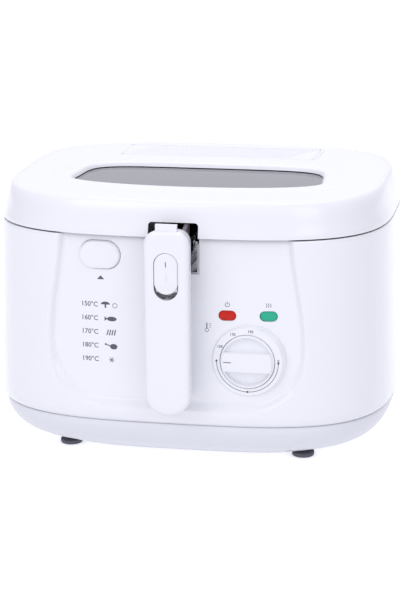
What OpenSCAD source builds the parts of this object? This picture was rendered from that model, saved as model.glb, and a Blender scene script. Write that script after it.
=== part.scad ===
// Household deep fryer: white moulded housing with an oil vessel, a hinged lid with a window and a
// steam filter, a basket whose folding handle raises it, a thermostat dial and two lamps.
// Millimetres, +Z up, front towards -Y. The origin is on the table, under the middle of the
// object's box. Every piece is drawn about the middle of the body and moved there by at_body().

/* [Body] */
// Width of the body at the joint with the lid
body_w = 360; // [320:1:440]
// Depth of the body at the joint with the lid
body_d = 296; // [270:1:360]
// Squareness of the body's outline, from 2, an oval, upwards
outline_power = 3.34; // [2.8:0.01:4]
// Height of the joint between body and lid
seam_z = 206; // [190:1:260]
// Height of the joint between body and base
base_seam_z = 38.5; // [34:0.5:46]
// Wall of the housing and the base
wall = 2.5; // [2:0.1:3.5]
// How far the body swells towards its foot
flare = 2.4; // [0:0.1:4]
// Height of the feet under the base
foot_h = 3.5; // [2:0.5:6]
// Radius of a foot
foot_r = 10; // [7:0.5:13]

/* [Control panel] */
// Depth of the panel below the front of the body
panel_depth = 7; // [4:0.5:9]
// Half width of the panel at its widest
panel_half_w = 116; // [106:1:120]
// Height of the panel's lower edge
panel_z = 52; // [50:1:60]
// Radius of the panel's lower corners
panel_r = 52; // [30:1:60]
// Distance of the dial from the middle
dial_x = 64.5; // [60:0.5:70]
// Height of the dial's axis
dial_z = 98.5; // [94:0.5:106]
// Radius of the raised ring round the dial
boss_r = 33; // [30:0.5:34]
// Radius of the knob
knob_r = 23.9; // [20:0.1:26]
// Height of the two lamps
lamp_z = 138.5; // [136:0.5:146]
// Width of a lamp's lens
lamp_w = 14.8; // [10:0.1:16]
// Height of a lamp's lens
lamp_h = 8.4; // [6:0.1:10]
// Distance of the lid button from the middle
button_x = 66.3; // [60:0.1:70]
// Height of the lid button
button_z = 188; // [186:0.5:189]
// Width of the lid button
button_w = 36.8; // [30:0.1:38]
// Height of the lid button's face
button_h = 25.2; // [20:0.1:26]

/* [Lid] */
// Height of the lid above the joint
lid_h = 32.2; // [32:0.1:45]
// Wall of the lid
lid_wall = 2.4; // [2:0.1:3]
// Width of the window opening
window_w = 224; // [180:1:230]
// Depth of the window opening
window_d = 100; // [50:1:104]
// Middle of the window, from the middle of the body
window_y = -26; // [-44:1:-24]
// Width of the steam grille
grille_w = 192; // [150:1:200]
// Depth of the steam grille
grille_d = 56; // [40:1:60]
// Middle of the steam grille, from the middle of the body
grille_y = 86; // [80:1:92]

/* [Vessel and basket] */
// Inside length of the oil vessel
vessel_w = 264; // [240:1:270]
// Inside depth of the oil vessel, front to back
vessel_d = 196; // [180:1:200]
// Wall of the oil vessel
vessel_wall = 1.5; // [1:0.1:2.5]
// Height of the vessel's floor
vessel_floor_z = 62; // [58:1:80]
// Middle of the vessel, from the middle of the body
vessel_y = 6; // [4:0.5:10]
// Gap between vessel and basket
basket_gap = 14; // [10:0.5:20]
// Height of the basket
basket_h = 100; // [80:1:104]
// Diameter of the basket's rim wire
rim_wire = 5; // [3:0.5:6]
// How far folding out the handle raises the basket
basket_lift = 22; // [15:0.5:22]

/* [Handle] */
// Width of the handle
handle_w = 39; // [38:0.5:40]
// How far the handle's face stands in front of the body
handle_standoff = 28; // [27:0.5:32]
// Thickness of the handle, front to back
handle_t = 20; // [19:0.5:22]
// Height of the handle's lower end
handle_low_z = 56; // [50:1:80]
// Length of the handle above the joint with the lid
handle_rise = 13; // [11:0.5:14]
// Width of the thumb slide's slot
slide_slot_w = 21.4; // [16:0.1:22]
// Height of the thumb slide's slot
slide_slot_h = 41.5; // [30:0.5:42]
// Travel of the thumb slide
slide_travel = 4.5; // [3:0.1:6]

/* [Fits] */
// Radius of the handle's pivot pin
pivot_r = 2.5; // [2:0.1:3]
// Radius of the lid's hinge pins
hinge_r = 2.5; // [2:0.1:3]
// Radius of the thermostat's shaft
shaft_r = 3; // [2:0.1:4]
// Radius of the mains lead's hole in the gland
lead_r = 3.6; // [3:0.1:4]
// Running clearance of a pin, on the radius
running = 0.05; // [0.02:0.01:0.1]
// Gap round a piece that moves in an opening
gap = 0.4; // [0.3:0.05:0.6]

/* [Hidden] */
$fn = 48;

// Places that several pieces share, from the middle of the body
half_w = body_w / 2;
half_d = body_d / 2;
outline_steps = 72;
handle_face_y = -half_d - handle_standoff;
handle_rear_y = handle_face_y + handle_t;
handle_top_z = seam_z + handle_rise;
pivot_y = handle_face_y + 12;
pivot_z = handle_top_z - 12;
hinge_y = half_d + 4.5;
hinge_z = seam_z + 2;
knuckle_r = 5.5;
body_y = (-handle_face_y - (hinge_y + knuckle_r)) / 2;
top_z = seam_z + lid_h;
slot_half_w = 22;
slot_z = seam_z - 32;
notch_top_z = seam_z + 13.7;
deck_z = seam_z - 13.5;
deck_t = 2.5;
flange_t = 2;
flange_z = deck_z + deck_t + flange_t;
vessel_r = 30;
flange_w = 8;
column_x = 98;
column_y = half_d - 28;
column_r = 4.5;
foot_x = 107;
foot_y = half_d - 50;
base_flat = 34;
liner_z = top_z - 8.7;
liner_t = 1;
// Half depth of the housing's inner wall at x
function wall_y(x) = (half_d - wall)
    * pow(1 - pow(abs(x) / (half_w - wall), outline_power), 1 / outline_power);

front_bore_y = -half_d + panel_depth;
basket_floor_z = vessel_floor_z + 6;
basket_rim_z = basket_floor_z + basket_h;
basket_hw = vessel_w / 2 - basket_gap;
basket_hd = vessel_d / 2 - basket_gap;

// The cam's rise for one radian, so that a quarter turn makes the whole lift
cam_rise = basket_lift / (PI / 2);
cam_low = 8;
rail_z = pivot_z - cam_low - 0.2;
cam_x = 9.8;
cam_t = 3.2;
ear_x = 14.6;
ear_t = 1.8;
ear_r = 4.3;

white = "#f4f4f8";
pale = "#e6e7f0";
black = "#26242a";
steel = "#c4c6ca";
alloy = "#9a9ca2";

module at_body() { translate([0, body_y, 0]) children(); }

// ---- shape helpers ----

// Distance of the body's outline from its middle, in the direction phi
function outline_r(phi, inset) =
    pow(pow(abs(cos(phi)) / (half_w - inset), outline_power)
        + pow(abs(sin(phi)) / (half_d - inset), outline_power), -1 / outline_power);

function smooth(t) = let (u = min(1, max(0, t))) u * u * (3 - 2 * u);

// How far the panel's surface lies below the front of the body, at x and z
function panel_sink(x, z) =
    let (side = panel_half_w - 11 * smooth((z - panel_z - 60) / 100),
         qx = abs(x) - (side - panel_r),
         qz = (panel_z + panel_r) - z,
         d = norm([max(qx, 0), max(qz, 0)]) + min(max(qx, qz), 0) - panel_r)
    panel_depth * smooth(-d / 8);

function ring(inset, z) = [
    for (i = [0 : outline_steps - 1])
        let (phi = 360 * i / outline_steps, r = outline_r(phi, inset))
        [r * cos(phi), r * sin(phi), z]
];

function front_ring(inset, z) = [
    for (p = ring(inset, z)) [p[0], p[1] + (p[1] < 0 ? panel_sink(p[0], z) : 0), z]
];

// Outline of the window: straight at the back, bowed at the front, sides drawn in at the back
function window_ring(grow, z) = [
    for (i = [0 : outline_steps - 1])
        let (phi = 360 * i / outline_steps, hw = window_w / 2 + grow, hd = window_d / 2 + grow,
             r = pow(pow(abs(cos(phi)) / hw, 5) + pow(abs(sin(phi)) / hd, 5), -1 / 5),
             x = r * cos(phi), y = r * sin(phi))
        [x * (1 - 0.035 * y / hd), window_y + y + 16 * pow(x / hw, 2) * max(0, -y / hd), z]
];

function between(a, b, s, z) = [
    for (i = [0 : outline_steps - 1])
        [a[i][0] * (1 - s) + b[i][0] * s, a[i][1] * (1 - s) + b[i][1] * s, z]
];

// A skin over rings of points; closed joins the last ring to the first, else both ends are capped
module skin(rings, closed = false) {
    n = outline_steps;
    m = len(rings);
    last = closed ? m - 1 : m - 2;
    sides = [
        for (j = [0 : last], i = [0 : n - 1])
            let (a = j * n, b = ((j + 1) % m) * n, k = (i + 1) % n)
            for (t = [[a + i, b + i, b + k], [a + i, b + k, a + k]]) t
    ];
    caps = closed ? [] : [
        [for (i = [0 : n - 1]) i],
        [for (i = [n - 1 : -1 : 0]) (m - 1) * n + i]
    ];
    polyhedron(points = [for (r = rings) for (p = r) p], faces = concat(sides, caps));
}

// Corner points of a rounded rectangle
function round_rect(hw, hd, r) = [
    for (q = [0 : 3], i = [0 : 6])
        let (a = q * 90 + i * 15, sx = (q == 0 || q == 3) ? 1 : -1, sy = q < 2 ? 1 : -1)
        [sx * (hw - r) + r * cos(a), sy * (hd - r) + r * sin(a)]
];

module slab(points, z0, z1) { translate([0, 0, z0]) linear_extrude(z1 - z0) polygon(points); }

module slab_y(points, y0, y1) {
    translate([0, y1, 0]) rotate([90, 0, 0]) linear_extrude(y1 - y0) polygon(points);
}

module plate_x(points, x0, x1) {
    translate([x0, 0, 0]) rotate([90, 0, 90]) linear_extrude(x1 - x0) polygon(points);
}

module block(x0, x1, y0, y1, z0, z1) { translate([x0, y0, z0]) cube([x1 - x0, y1 - y0, z1 - z0]); }

module rod_x(r, x0, x1, y, z) { translate([x0, y, z]) rotate([0, 90, 0]) cylinder(r = r, h = x1 - x0); }

module rod_y(r, y0, y1, x, z) { translate([x, y1, z]) rotate([90, 0, 0]) cylinder(r = r, h = y1 - y0); }

module rod_z(r, z0, z1, x, y) { translate([x, y, z0]) cylinder(r = r, h = z1 - z0); }

// A round wire from one point to the next, with balls at the bends
module wire(path, r) {
    for (i = [0 : len(path) - 2]) {
        v = path[i + 1] - path[i];
        translate(path[i]) rotate([0, acos(v[2] / norm(v)), atan2(v[1], v[0])])
            cylinder(r = r, h = norm(v), $fn = 16);
        if (i > 0) translate(path[i]) sphere(r = 1.15 * r, $fn = 16);
    }
}

// A screw with its head at the origin and its shank upwards
module screw(shank_r, shank_l, head_r, head_h) {
    cylinder(r = shank_r, h = head_h + shank_l, $fn = 24);
    cylinder(r = head_r, h = head_h, $fn = 24);
}

// A pill outline in X and Z, for the lid button and the thumb slide
function pill(w, h, cx, cz) =
    let (r = min(w, h) / 2)
    [for (p = round_rect(w / 2, h / 2, r - 0.01)) [p[0] + cx, p[1] + cz]];

module mirrored_x() { children(); mirror([1, 0, 0]) children(); }

module at_columns() {
    for (sx = [-1, 1], sy = [-1, 1]) translate([sx * column_x, sy * column_y, 0]) children();
}

// ---- body ----

// Depth of the front wall's surface behind the foremost line, at x on the panel
function panel_y(x) =
    -(half_d - panel_depth) * pow(1 - pow(abs(x) / (half_w - panel_depth), outline_power),
                                  1 / outline_power);

module housing_shell() {
    span = seam_z - base_seam_z;
    swell = function(z) 1.8 - (1.8 + flare) * smooth((seam_z - z) / (span * 0.9));
    heights = [for (f = [0.05, 0.09, 0.14, 0.2, 0.27, 0.36, 0.46, 0.58, 0.7, 0.82, 0.92, 1])
        base_seam_z + 0.2 + f * (span - 0.8)];
    outer = concat(
        [ring(1.6, base_seam_z + 0.2), ring(-flare * 0.55, base_seam_z + 3.2)],
        [for (z = heights) front_ring(swell(z), z)]);
    inner = [for (i = [len(heights) - 1 : -3 : 0])
        front_ring(swell(heights[i]) + wall, heights[i])];
    skin(concat(outer, inner, [ring(1.6 + wall, base_seam_z + 0.2)]), closed = true);
}

module outer_housing() {
    column_low = base_seam_z + 1.5;
    rib_end = wall_y(column_x) + 0.8;
    color(white) at_body() difference() {
        union() {
            housing_shell();
            translate([dial_x, panel_y(dial_x) + 4, dial_z]) rotate([90, 0, 0])
                cylinder(r1 = boss_r, r2 = boss_r - 2.5, h = 9, $fn = 64);
            for (sx = [-1, 1], sy = [-1, 1]) {
                rod_z(column_r, column_low, deck_z, sx * column_x, sy * column_y);
                translate([sx * column_x - 1, sy > 0 ? column_y : panel_depth - 1.5 - rib_end, column_low])
                    cube([2, rib_end - column_y, deck_z - column_low - 10]);
            }
        }
        rod_y(knob_r + gap, -half_d - 2, -half_d + panel_depth + 15, dial_x, dial_z);
        for (x = [lamp_1_x, lamp_2_x])
            slab_y(pill(lamp_w + 2 * gap, lamp_h + 2 * gap, x, lamp_z), -half_d, -half_d + 25);
        slab_y(pill(button_w + 2 * gap, button_h + 2 * gap, -button_x, button_z), -half_d, -half_d + 25);
        block(-slot_half_w, slot_half_w, -half_d - 2, -half_d + 25, slot_z, seam_z + 1);
        rod_y(lead_r + 3.5 + gap, half_d - 12, half_d + 5, gland_x, gland_z);
        for (sx = [-1, 1], sy = [-1, 1]) {
            rod_z(1.6, column_low - 1, column_low + 16, sx * column_x, sy * column_y);
            rod_z(1.6, deck_z - 12, deck_z + 1, sx * column_x, sy * column_y);
        }
    }
}

// Bowl-shaped base: a shallow shell with tunnels for the four screws
module base_pan() {
    drop = base_seam_z - foot_h;
    profile = [for (t = [0 : 10 : 90])
        [1.2 + (base_flat - 1.2) * (1 - cos(t)) + 3 * sin(t), base_seam_z - drop * sin(t)]];
    outer = [for (i = [len(profile) - 1 : -1 : 0]) ring(profile[i][0], profile[i][1])];
    inner = [for (p = profile) if (p[1] > foot_h + 9)
        ring(p[0] + wall, p[1])];
    color(pale) at_body() difference() {
        union() {
            skin(concat(outer, inner, [ring(base_flat + 4, foot_h + wall)]));
            for (sx = [-1, 1], sy = [-1, 1])
                rod_z(5.5, foot_h + 7, base_seam_z, sx * column_x, sy * column_y);
        }
        for (sx = [-1, 1], sy = [-1, 1]) {
            rod_z(4, foot_h - 1, base_seam_z - 8, sx * column_x, sy * column_y);
            rod_z(2.1, foot_h, base_seam_z + 1, sx * column_x, sy * column_y);
        }
    }
}

module rubber_feet() {
    color("#5c5d66") at_body() for (sx = [-1, 1], sy = [-1, 1])
        translate([sx * foot_x, sy * foot_y, 0]) {
            cylinder(r1 = foot_r - 1, r2 = foot_r, h = 1);
            translate([0, 0, 1]) cylinder(r = foot_r, h = foot_h - 1);
        }
}

module base_screws() {
    color(steel) at_body() for (sx = [-1, 1], sy = [-1, 1])
        translate([sx * column_x, sy * column_y, base_seam_z - 10.5])
            screw(1.55, 20, 3.6, 2.5);
}

// Plate between the housing and the vessel's flange, with cut-outs for the handle guide and the catch
module deck_ring() {
    color(black) at_body() difference() {
        intersection() {
            slab([for (p = ring(4.6, 0)) [p[0], p[1] + (p[1] < 0 ? panel_depth : 0)]],
                deck_z, deck_z + deck_t);
            slab([for (p = ring(4.6, 0)) [p[0], p[1]]], deck_z, deck_z + deck_t);
        }
        translate([0, vessel_y, 0])
            slab(round_rect(vessel_w / 2 + 3, vessel_d / 2 + 3, vessel_r + 3), deck_z - 1, deck_z + 4);
        block(-slot_half_w - 3, slot_half_w + 3, -half_d, guide_back_y + 3, deck_z - 1, deck_z + 4);
        block(-button_x - 22, -button_x + 22, -half_d, guide_back_y + 3, deck_z - 1, deck_z + 4);
        at_columns() cylinder(r = 1.8, h = body_w);
    }
}

module deck_screws() {
    color(steel) at_body() at_columns() translate([0, 0, deck_z + deck_t + 2])
        rotate([180, 0, 0]) screw(1.55, 12, 3, 2);
}

// ---- oil vessel and heater ----

module oil_vessel() {
    hw = vessel_w / 2;
    hd = vessel_d / 2;
    color("#8d8f94") at_body() translate([0, vessel_y, 0]) difference() {
        union() {
            slab(round_rect(hw + vessel_wall, hd + vessel_wall, vessel_r + vessel_wall),
                vessel_floor_z - vessel_wall + 4, flange_z);
            slab(round_rect(hw + vessel_wall - 4, hd + vessel_wall - 4, vessel_r + vessel_wall - 4),
                vessel_floor_z - vessel_wall, vessel_floor_z + 4);
            slab(round_rect(hw + flange_w, hd + flange_w, vessel_r + flange_w),
                flange_z - flange_t, flange_z);
        }
        slab(round_rect(hw, hd, vessel_r), vessel_floor_z + 4, flange_z + 1);
        slab(round_rect(hw - 4, hd - 4, vessel_r - 4), vessel_floor_z, vessel_floor_z + 5);
    }
}

element_r = 4;
element_z = vessel_floor_z - vessel_wall - element_r - 0.2;
element_hw = 52;
element_bend = 46;
shield_z = element_z - 9;

// Tubular element bent into a loop, its two ends turned down at the front
module heating_element() {
    color("#7d746c") at_body() translate([0, vessel_y, element_z]) {
        for (s = [-1, 1]) translate([s * element_hw, 0, 0]) rotate([0, 0, s > 0 ? -90 : 90])
            rotate_extrude(angle = 180) translate([element_bend, 0]) circle(r = element_r);
        rod_x(element_r, -element_hw, element_hw, element_bend, 0);
        mirrored_x() {
            rod_x(element_r, 14, element_hw, -element_bend, 0);
            translate([14, -element_bend, 0]) sphere(r = element_r);
            rod_z(element_r, -22, 0, 14, -element_bend);
        }
    }
}

module heat_shield() {
    color(steel) at_body() difference() {
        translate([0, vessel_y, 0]) slab(round_rect(110, 72, 20), shield_z, shield_z + 0.8);
        mirrored_x() rod_z(element_r + 1, shield_z - 1, shield_z + 2, 14, vessel_y - element_bend);
        rod_z(3.2, shield_z - 1, shield_z + 2, 0, vessel_y);
        rod_z(2, shield_z - 1, shield_z + 2, bulb_x, bulb_y);
        rod_z(2.5, shield_z - 1, shield_z + 2, -34, vessel_y + 5);
    }
}

module shield_stud() {
    color(steel) at_body() {
        rod_z(3, shield_z - 8, vessel_floor_z - vessel_wall, 0, vessel_y);
        difference() {
            rod_z(6, shield_z - 6, shield_z, 0, vessel_y);
            rod_z(3, shield_z - 7, shield_z + 1, 0, vessel_y);
        }
    }
}

module thermal_cutout() {
    color("#b9a58a") at_body() translate([-34, vessel_y, 0]) {
        rod_z(9, element_z - 3, element_z + element_r, 0, 0);
        for (y = [-5, 5]) block(-0.4, 0.4, y - 3, y + 3, element_z - 7, element_z - 3);
    }
}

// ---- thermostat ----

thermostat_y = front_bore_y + 17;
bulb_x = 20;
bulb_y = vessel_y + 24;

module thermostat_body() {
    color("#d9d4c8") at_body() difference() {
        union() {
            rod_y(15, thermostat_y, thermostat_y + 14, dial_x, dial_z);
            rod_y(6, thermostat_y - 4, thermostat_y, dial_x, dial_z);
            for (x = [-9, 9]) block(dial_x + x - 3, dial_x + x + 3, thermostat_y + 14,
                                    thermostat_y + 20, dial_z - 0.4, dial_z + 0.4);
        }
        rod_y(shaft_r + running, thermostat_y - 5, thermostat_y + 9, dial_x, dial_z);
    }
}

// Sheet bracket that holds the thermostat to the housing's columns and wall
module thermostat_bracket() {
    y1 = thermostat_y;
    color(steel) at_body() difference() {
        union() {
            block(dial_x - 26, dial_x + 26, y1 - 1.5, y1, dial_z - 20, dial_z + 20);
            for (z = [dial_z - 20, dial_z + 18.5])
                block(dial_x - 26, dial_x + 26, y1 - 5, y1 - 1.5, z, z + 1.5);
        }
        rod_y(6.2, y1 - 6, y1 + 1, dial_x, dial_z);
    }
}

module thermostat_bulb() {
    color("#b87348") at_body()
        rod_x(3, bulb_x - 2, bulb_x + 50, bulb_y, vessel_floor_z - vessel_wall - 3.3);
}

module capillary_tube() {
    bulb_z = vessel_floor_z - vessel_wall - 3.3;
    under_z = shield_z - 4;
    front_y = thermostat_y + 22;
    color("#b87348") at_body() wire([
        [dial_x, thermostat_y + 14, dial_z + 8], [dial_x, front_y, dial_z + 8],
        [dial_x, front_y, under_z], [bulb_x, bulb_y, under_z], [bulb_x, bulb_y, bulb_z - 3.1]
    ], 1);
}

module terminal_block() {
    floor_z = foot_h + wall;
    color("#e3ddcf") at_body() {
        block(gland_x - 22, gland_x + 22, half_d - 78, half_d - 60, floor_z, floor_z + 16);
        for (i = [-1 : 1]) rod_z(2.5, floor_z + 16, floor_z + 18, gland_x + i * 14, half_d - 69);
    }
}

// Insulated leads from the terminal block to the thermostat, the element and the cutout
module lead_wires() {
    start_z = foot_h + wall + 10;
    run_z = foot_h + wall + 6;
    y0 = half_d - 79.5;
    color("#3f6fae") at_body() {
        wire([[gland_x + 14, y0, start_z], [gland_x + 14, y0 - 20, run_z],
              [dial_x + 9, thermostat_y + 24, run_z], [dial_x + 9, thermostat_y + 24, dial_z],
              [dial_x + 9, thermostat_y + 20.2, dial_z]], 1.3);
        wire([[gland_x, y0, start_z], [gland_x, y0 - 20, run_z],
              [14, vessel_y - element_bend, run_z],
              [14, vessel_y - element_bend, element_z - 22.2]], 1.3);
        wire([[gland_x - 14, y0, start_z], [gland_x - 14, y0 - 20, run_z],
              [-34, vessel_y + 5, run_z], [-34, vessel_y + 5, element_z - 7.2]], 1.3);
    }
}

// ---- lamps, handle guide, gland ----

lamp_1_x = dial_x - 18;
lamp_2_x = dial_x + 17.7;
gland_x = 70;
gland_z = 62;

module lens(x) {
    face_y = panel_y(x) - 1.2;
    slab_y(pill(lamp_w, lamp_h, x, lamp_z), face_y, face_y + 7);
    slab_y(pill(lamp_w + 3, lamp_h + 3, x, lamp_z), face_y + 7, face_y + 9);
}

module power_lens() { color("#d01808") at_body() lens(lamp_1_x); }

module heating_lens() { color("#2fbf9a") at_body() lens(lamp_2_x); }

module lamp_holders() {
    color("#e8e6de") at_body() for (x = [lamp_1_x, lamp_2_x])
        rod_y(3.6, panel_y(x) + 8, panel_y(x) + 20, x, lamp_z);
}

guide_back_y = -half_d + 36;

// Well behind the handle: the bracket moves up and down in it, and the cam rests on its two rails
module handle_guide() {
    x1 = slot_half_w - 0.3;
    front_y = -half_d + panel_depth + 0.4;
    color(steel) at_body() {
        difference() {
            block(-x1, x1, front_y, guide_back_y + 2, slot_z + 0.3, deck_z + 9);
            block(-x1 + 1.6, x1 - 1.6, front_y - 1, guide_back_y, slot_z + 2, deck_z + 10);
            block(-x1 + 1.6, x1 - 1.6, guide_back_y - 1, guide_back_y + 3, flange_z - 0.8, deck_z + 10);
        }
        mirrored_x() block(cam_x - 0.2, cam_x + cam_t + 0.2, handle_rear_y + 2.5,
                           guide_back_y + 0.5, slot_z + 1, rail_z);
    }
}

// Strain relief for the mains lead
module cord_gland() {
    color("#d8d9e2") at_body() difference() {
        union() {
            rod_y(lead_r + 3.5, half_d - 12, half_d + 3, gland_x, gland_z);
            rod_y(lead_r + 6.5, half_d + 3, half_d + 5, gland_x, gland_z);
            rod_y(lead_r + 2.4, half_d + 5, half_d + 10, gland_x, gland_z);
        }
        rod_y(lead_r, half_d - 13, half_d + 11, gland_x, gland_z);
    }
}

// ---- hinge ----

module hinge_ear(x0, x1, plate_z0, web_z, y0) {
    difference() {
        union() {
            rod_x(knuckle_r, x0, x1, hinge_y, hinge_z);
            block(x0, x1, y0, hinge_y, min(web_z, hinge_z), max(web_z, hinge_z));
        }
        rod_x(hinge_r + running, x0 - 1, x1 + 1, hinge_y, hinge_z);
    }
}

// Two forked brackets on the back of the housing, with screws
module hinge_brackets() {
    low = seam_z - 30;
    y0 = half_d - 0.8;
    color(steel) at_body() mirrored_x() difference() {
        union() {
            for (x = [34.6, 59.4]) hinge_ear(x, x + 6, low, seam_z - 7, y0);
            block(34.6, 65.4, y0, y0 + 2.5, low, seam_z - 6.5);
        }
        for (x = [42, 58]) rod_y(2, y0 - 1, y0 + 4, x, low + 9);
    }
}

module hinge_screws() {
    y0 = half_d - 0.8;
    color(steel) at_body() mirrored_x() for (x = [42, 58])
        translate([x, y0 + 4.5, seam_z - 21]) rotate([90, 0, 0]) screw(1.9, 2.5, 3.6, 2);
}

module hinge_pins() {
    color(steel) at_body() mirrored_x() rod_x(hinge_r, 34, 66, hinge_y, hinge_z);
}

// ---- lid ----

leaf_x0 = 41;
leaf_x1 = 59;
leaf_screw_rise = 10.6;
pocket_z = top_z - 4.6;
grille_t = 2;

// The lid's shell runs from its lower edge, over the rim and the crease, to the window's pocket
module lid_shell() {
    t = lid_wall;
    h = lid_h;
    skirt = [[2.4, 0.5], [2.8, 3.5], [4.2, 9], [6.4, 19], [8.7, 26], [10.6, h - 2.2], [12.2, h - 0.5],
             [13.6, h - 0.7], [14.8, h - 1.7], [17.5, h - 0.8], [24, h - 0.1]];
    under = [[26, h - t], [17.5, h - t - 0.9], [13.4, h - t - 2.2], [11.4, h - t - 5], [8.9, 19],
             [6.7, 9], [5.3, 3.5], [4.9, 0.5]];
    edge = ring(26, 0);
    frame = window_ring(10, 0);
    skin(concat(
        [for (p = skirt) ring(p[0], seam_z + p[1])],
        [for (s = [0.3, 0.7, 1]) between(edge, frame, s, top_z)],
        [window_ring(3, top_z - 0.3), window_ring(1.2, top_z - 1.6), window_ring(0, pocket_z),
         window_ring(8, pocket_z), window_ring(10, top_z - t)],
        [for (s = [0.6, 0.3]) between(edge, window_ring(12, 0), s, top_z - t)],
        [for (p = under) ring(p[0], seam_z + p[1])]
    ), closed = true);
}

module lid_outer() {
    color(white) at_body() difference() {
        union() {
            lid_shell();
            for (p = lid_posts) rod_z(4, liner_z + liner_t, top_z - lid_wall + 0.5, p[0], p[1]);
            // pads that the hinge's leaves are screwed to
            mirrored_x() block(42.5, 57.5, half_d - 6, half_d - 1.8, seam_z + 4, seam_z + 15);
        }
        // notch that the basket's bracket rises into
        slab_y([for (q = round_rect(slot_half_w, notch_top_z - seam_z + 4, 3.3))
                [q[0], q[1] + seam_z - 4]], -half_d - 2, -half_d + 20);
        slab([for (q = round_rect(grille_w / 2 + 0.3, grille_d / 2 + 0.3, 6.3))
              [q[0], q[1] + grille_y]], pocket_z - 3, top_z + 1);
        for (p = lid_posts) rod_z(1.6, liner_z, liner_z + 4.5, p[0], p[1]);
        mirrored_x() for (x = [46, 54]) rod_y(1.6, half_d - 4, half_d, x, seam_z + leaf_screw_rise);
    }
}

lid_posts = [for (x = [-120, 120], y = [vessel_y - 86, vessel_y + 84]) [x, y]];

// Inverted metal tray inside the lid; its wall carries the gasket and is notched for the bracket
module lid_liner() {
    hw = vessel_w / 2 + 4;
    hd = vessel_d / 2 + 4;
    wall_low = flange_z + 5;
    color(alloy) at_body() difference() {
        translate([0, vessel_y, 0]) difference() {
            slab(round_rect(hw, hd, vessel_r + 4), wall_low, liner_z + liner_t);
            slab(round_rect(hw - 1.2, hd - 1.2, vessel_r + 2.8), wall_low - 1, liner_z);
        }
        block(-slot_half_w + 1, slot_half_w - 1, vessel_y - hd - 2, vessel_y - hd + 8,
              wall_low - 1, liner_z - 0.2);
        slab([for (p = window_ring(-2, 0)) [p[0], p[1]]], liner_z - 1, liner_z + 2);
        slab([for (q = round_rect(filter_hw + 0.4, filter_hd + 0.4, 5.4)) [q[0], q[1] + filter_y]],
             liner_z - 1, liner_z + 2);
        for (p = lid_posts) rod_z(1.8, liner_z - 1, liner_z + 2, p[0], p[1]);
    }
}

module lid_gasket() {
    hw = vessel_w / 2 + 5.5;
    hd = vessel_d / 2 + 5.5;
    color("#b9bac2") at_body() difference() {
        translate([0, vessel_y, 0]) difference() {
            slab(round_rect(hw, hd, vessel_r + 5.5), flange_z + 0.3, flange_z + 5);
            slab(round_rect(hw - 4, hd - 4, vessel_r + 1.5), flange_z - 1, flange_z + 6);
        }
        block(-slot_half_w + 1, slot_half_w - 1, -half_d, vessel_y - hd + 8, flange_z - 1, flange_z + 6);
    }
}

module window_glass() {
    color("#3c3d42", 0.6) at_body() skin([window_ring(6, pocket_z - 3), window_ring(6, pocket_z - 0.4)]);
}

module window_seal() {
    color(black) at_body() difference() {
        skin([window_ring(7.4, pocket_z - 3), window_ring(7.4, pocket_z)]);
        skin([window_ring(6.05, pocket_z - 4), window_ring(6.05, pocket_z - 0.35)]);
        skin([window_ring(1, pocket_z - 4), window_ring(1, pocket_z + 1)]);
    }
}

// Insert with slanted slots that the steam leaves through
module steam_grille() {
    bar = 5.6;
    slots = floor((grille_w - 34) / bar);
    color(white) at_body() translate([0, grille_y, top_z - grille_t - 0.1]) difference() {
        linear_extrude(grille_t) polygon(round_rect(grille_w / 2, grille_d / 2, 6));
        for (i = [0 : slots - 1])
            translate([(i - (slots - 1) / 2) * bar, 0, -1]) linear_extrude(grille_t + 2)
                polygon([[-14, -21], [-11.6, -21], [14, 21], [11.6, 21]]);
    }
}

// The filters lie between the grille's front edge and the liner's rear wall
filter_hw = grille_w / 2 - 4.6;
filter_rear = vessel_y + vessel_d / 2 - 1;
filter_front = grille_y - grille_d / 2 + 5.5;
filter_y = (filter_rear + filter_front) / 2;
filter_hd = (filter_rear - filter_front) / 2;

// Tray under the grille: it hangs in the liner's opening and holds the two filters
module filter_tray() {
    low = liner_z - 5;
    color(alloy) at_body() translate([0, filter_y, 0]) difference() {
        union() {
            slab(round_rect(filter_hw, filter_hd, 5), low, liner_z + liner_t);
            slab(round_rect(filter_hw + 3, filter_hd + 3, 6), liner_z + liner_t,
                liner_z + liner_t + 0.8);
        }
        slab(round_rect(filter_hw - 1, filter_hd - 1, 4), low + 1, liner_z + 3);
        for (x = [-7.5 : 1 : 7.5], y = [-1.5 : 1 : 1.5])
            translate([x * 10.5 - 3, y * 10.5 - 3, low - 1]) cube([6, 6, 3]);
    }
}

module filter_foam() {
    color("#e9e6d8") at_body() translate([0, filter_y, 0])
        slab(round_rect(filter_hw - 1.4, filter_hd - 1.4, 3), liner_z - 3.8, liner_z + 0.5);
}

module filter_charcoal() {
    color(black) at_body() translate([0, filter_y, 0])
        slab(round_rect(filter_hw - 1.4, filter_hd - 1.4, 3), liner_z + 0.7, top_z - grille_t - 0.5);
}

// Leaves of the hinge, screwed to the back of the lid
module hinge_leaves() {
    y0 = half_d - 1.8;
    color(steel) at_body() mirrored_x() difference() {
        union() {
            rod_x(knuckle_r, leaf_x0, leaf_x1, hinge_y, hinge_z);
            block(leaf_x0, leaf_x1, y0, hinge_y - 1, hinge_z - 1, hinge_z + 2.5);
            block(leaf_x0, leaf_x1, y0, y0 + 2, hinge_z - 1, seam_z + 15);
        }
        rod_x(hinge_r + running, leaf_x0 - 1, leaf_x1 + 1, hinge_y, hinge_z);
        for (x = [46, 54]) rod_y(1.9, y0 - 1, y0 + 3, x, seam_z + leaf_screw_rise);
    }
}

module leaf_screws() {
    y0 = half_d - 1.8;
    color(steel) at_body() mirrored_x() for (x = [46, 54])
        translate([x, y0 + 3.6, seam_z + leaf_screw_rise]) rotate([90, 0, 0]) screw(1.55, 3.8, 3, 1.6);
}

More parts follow.
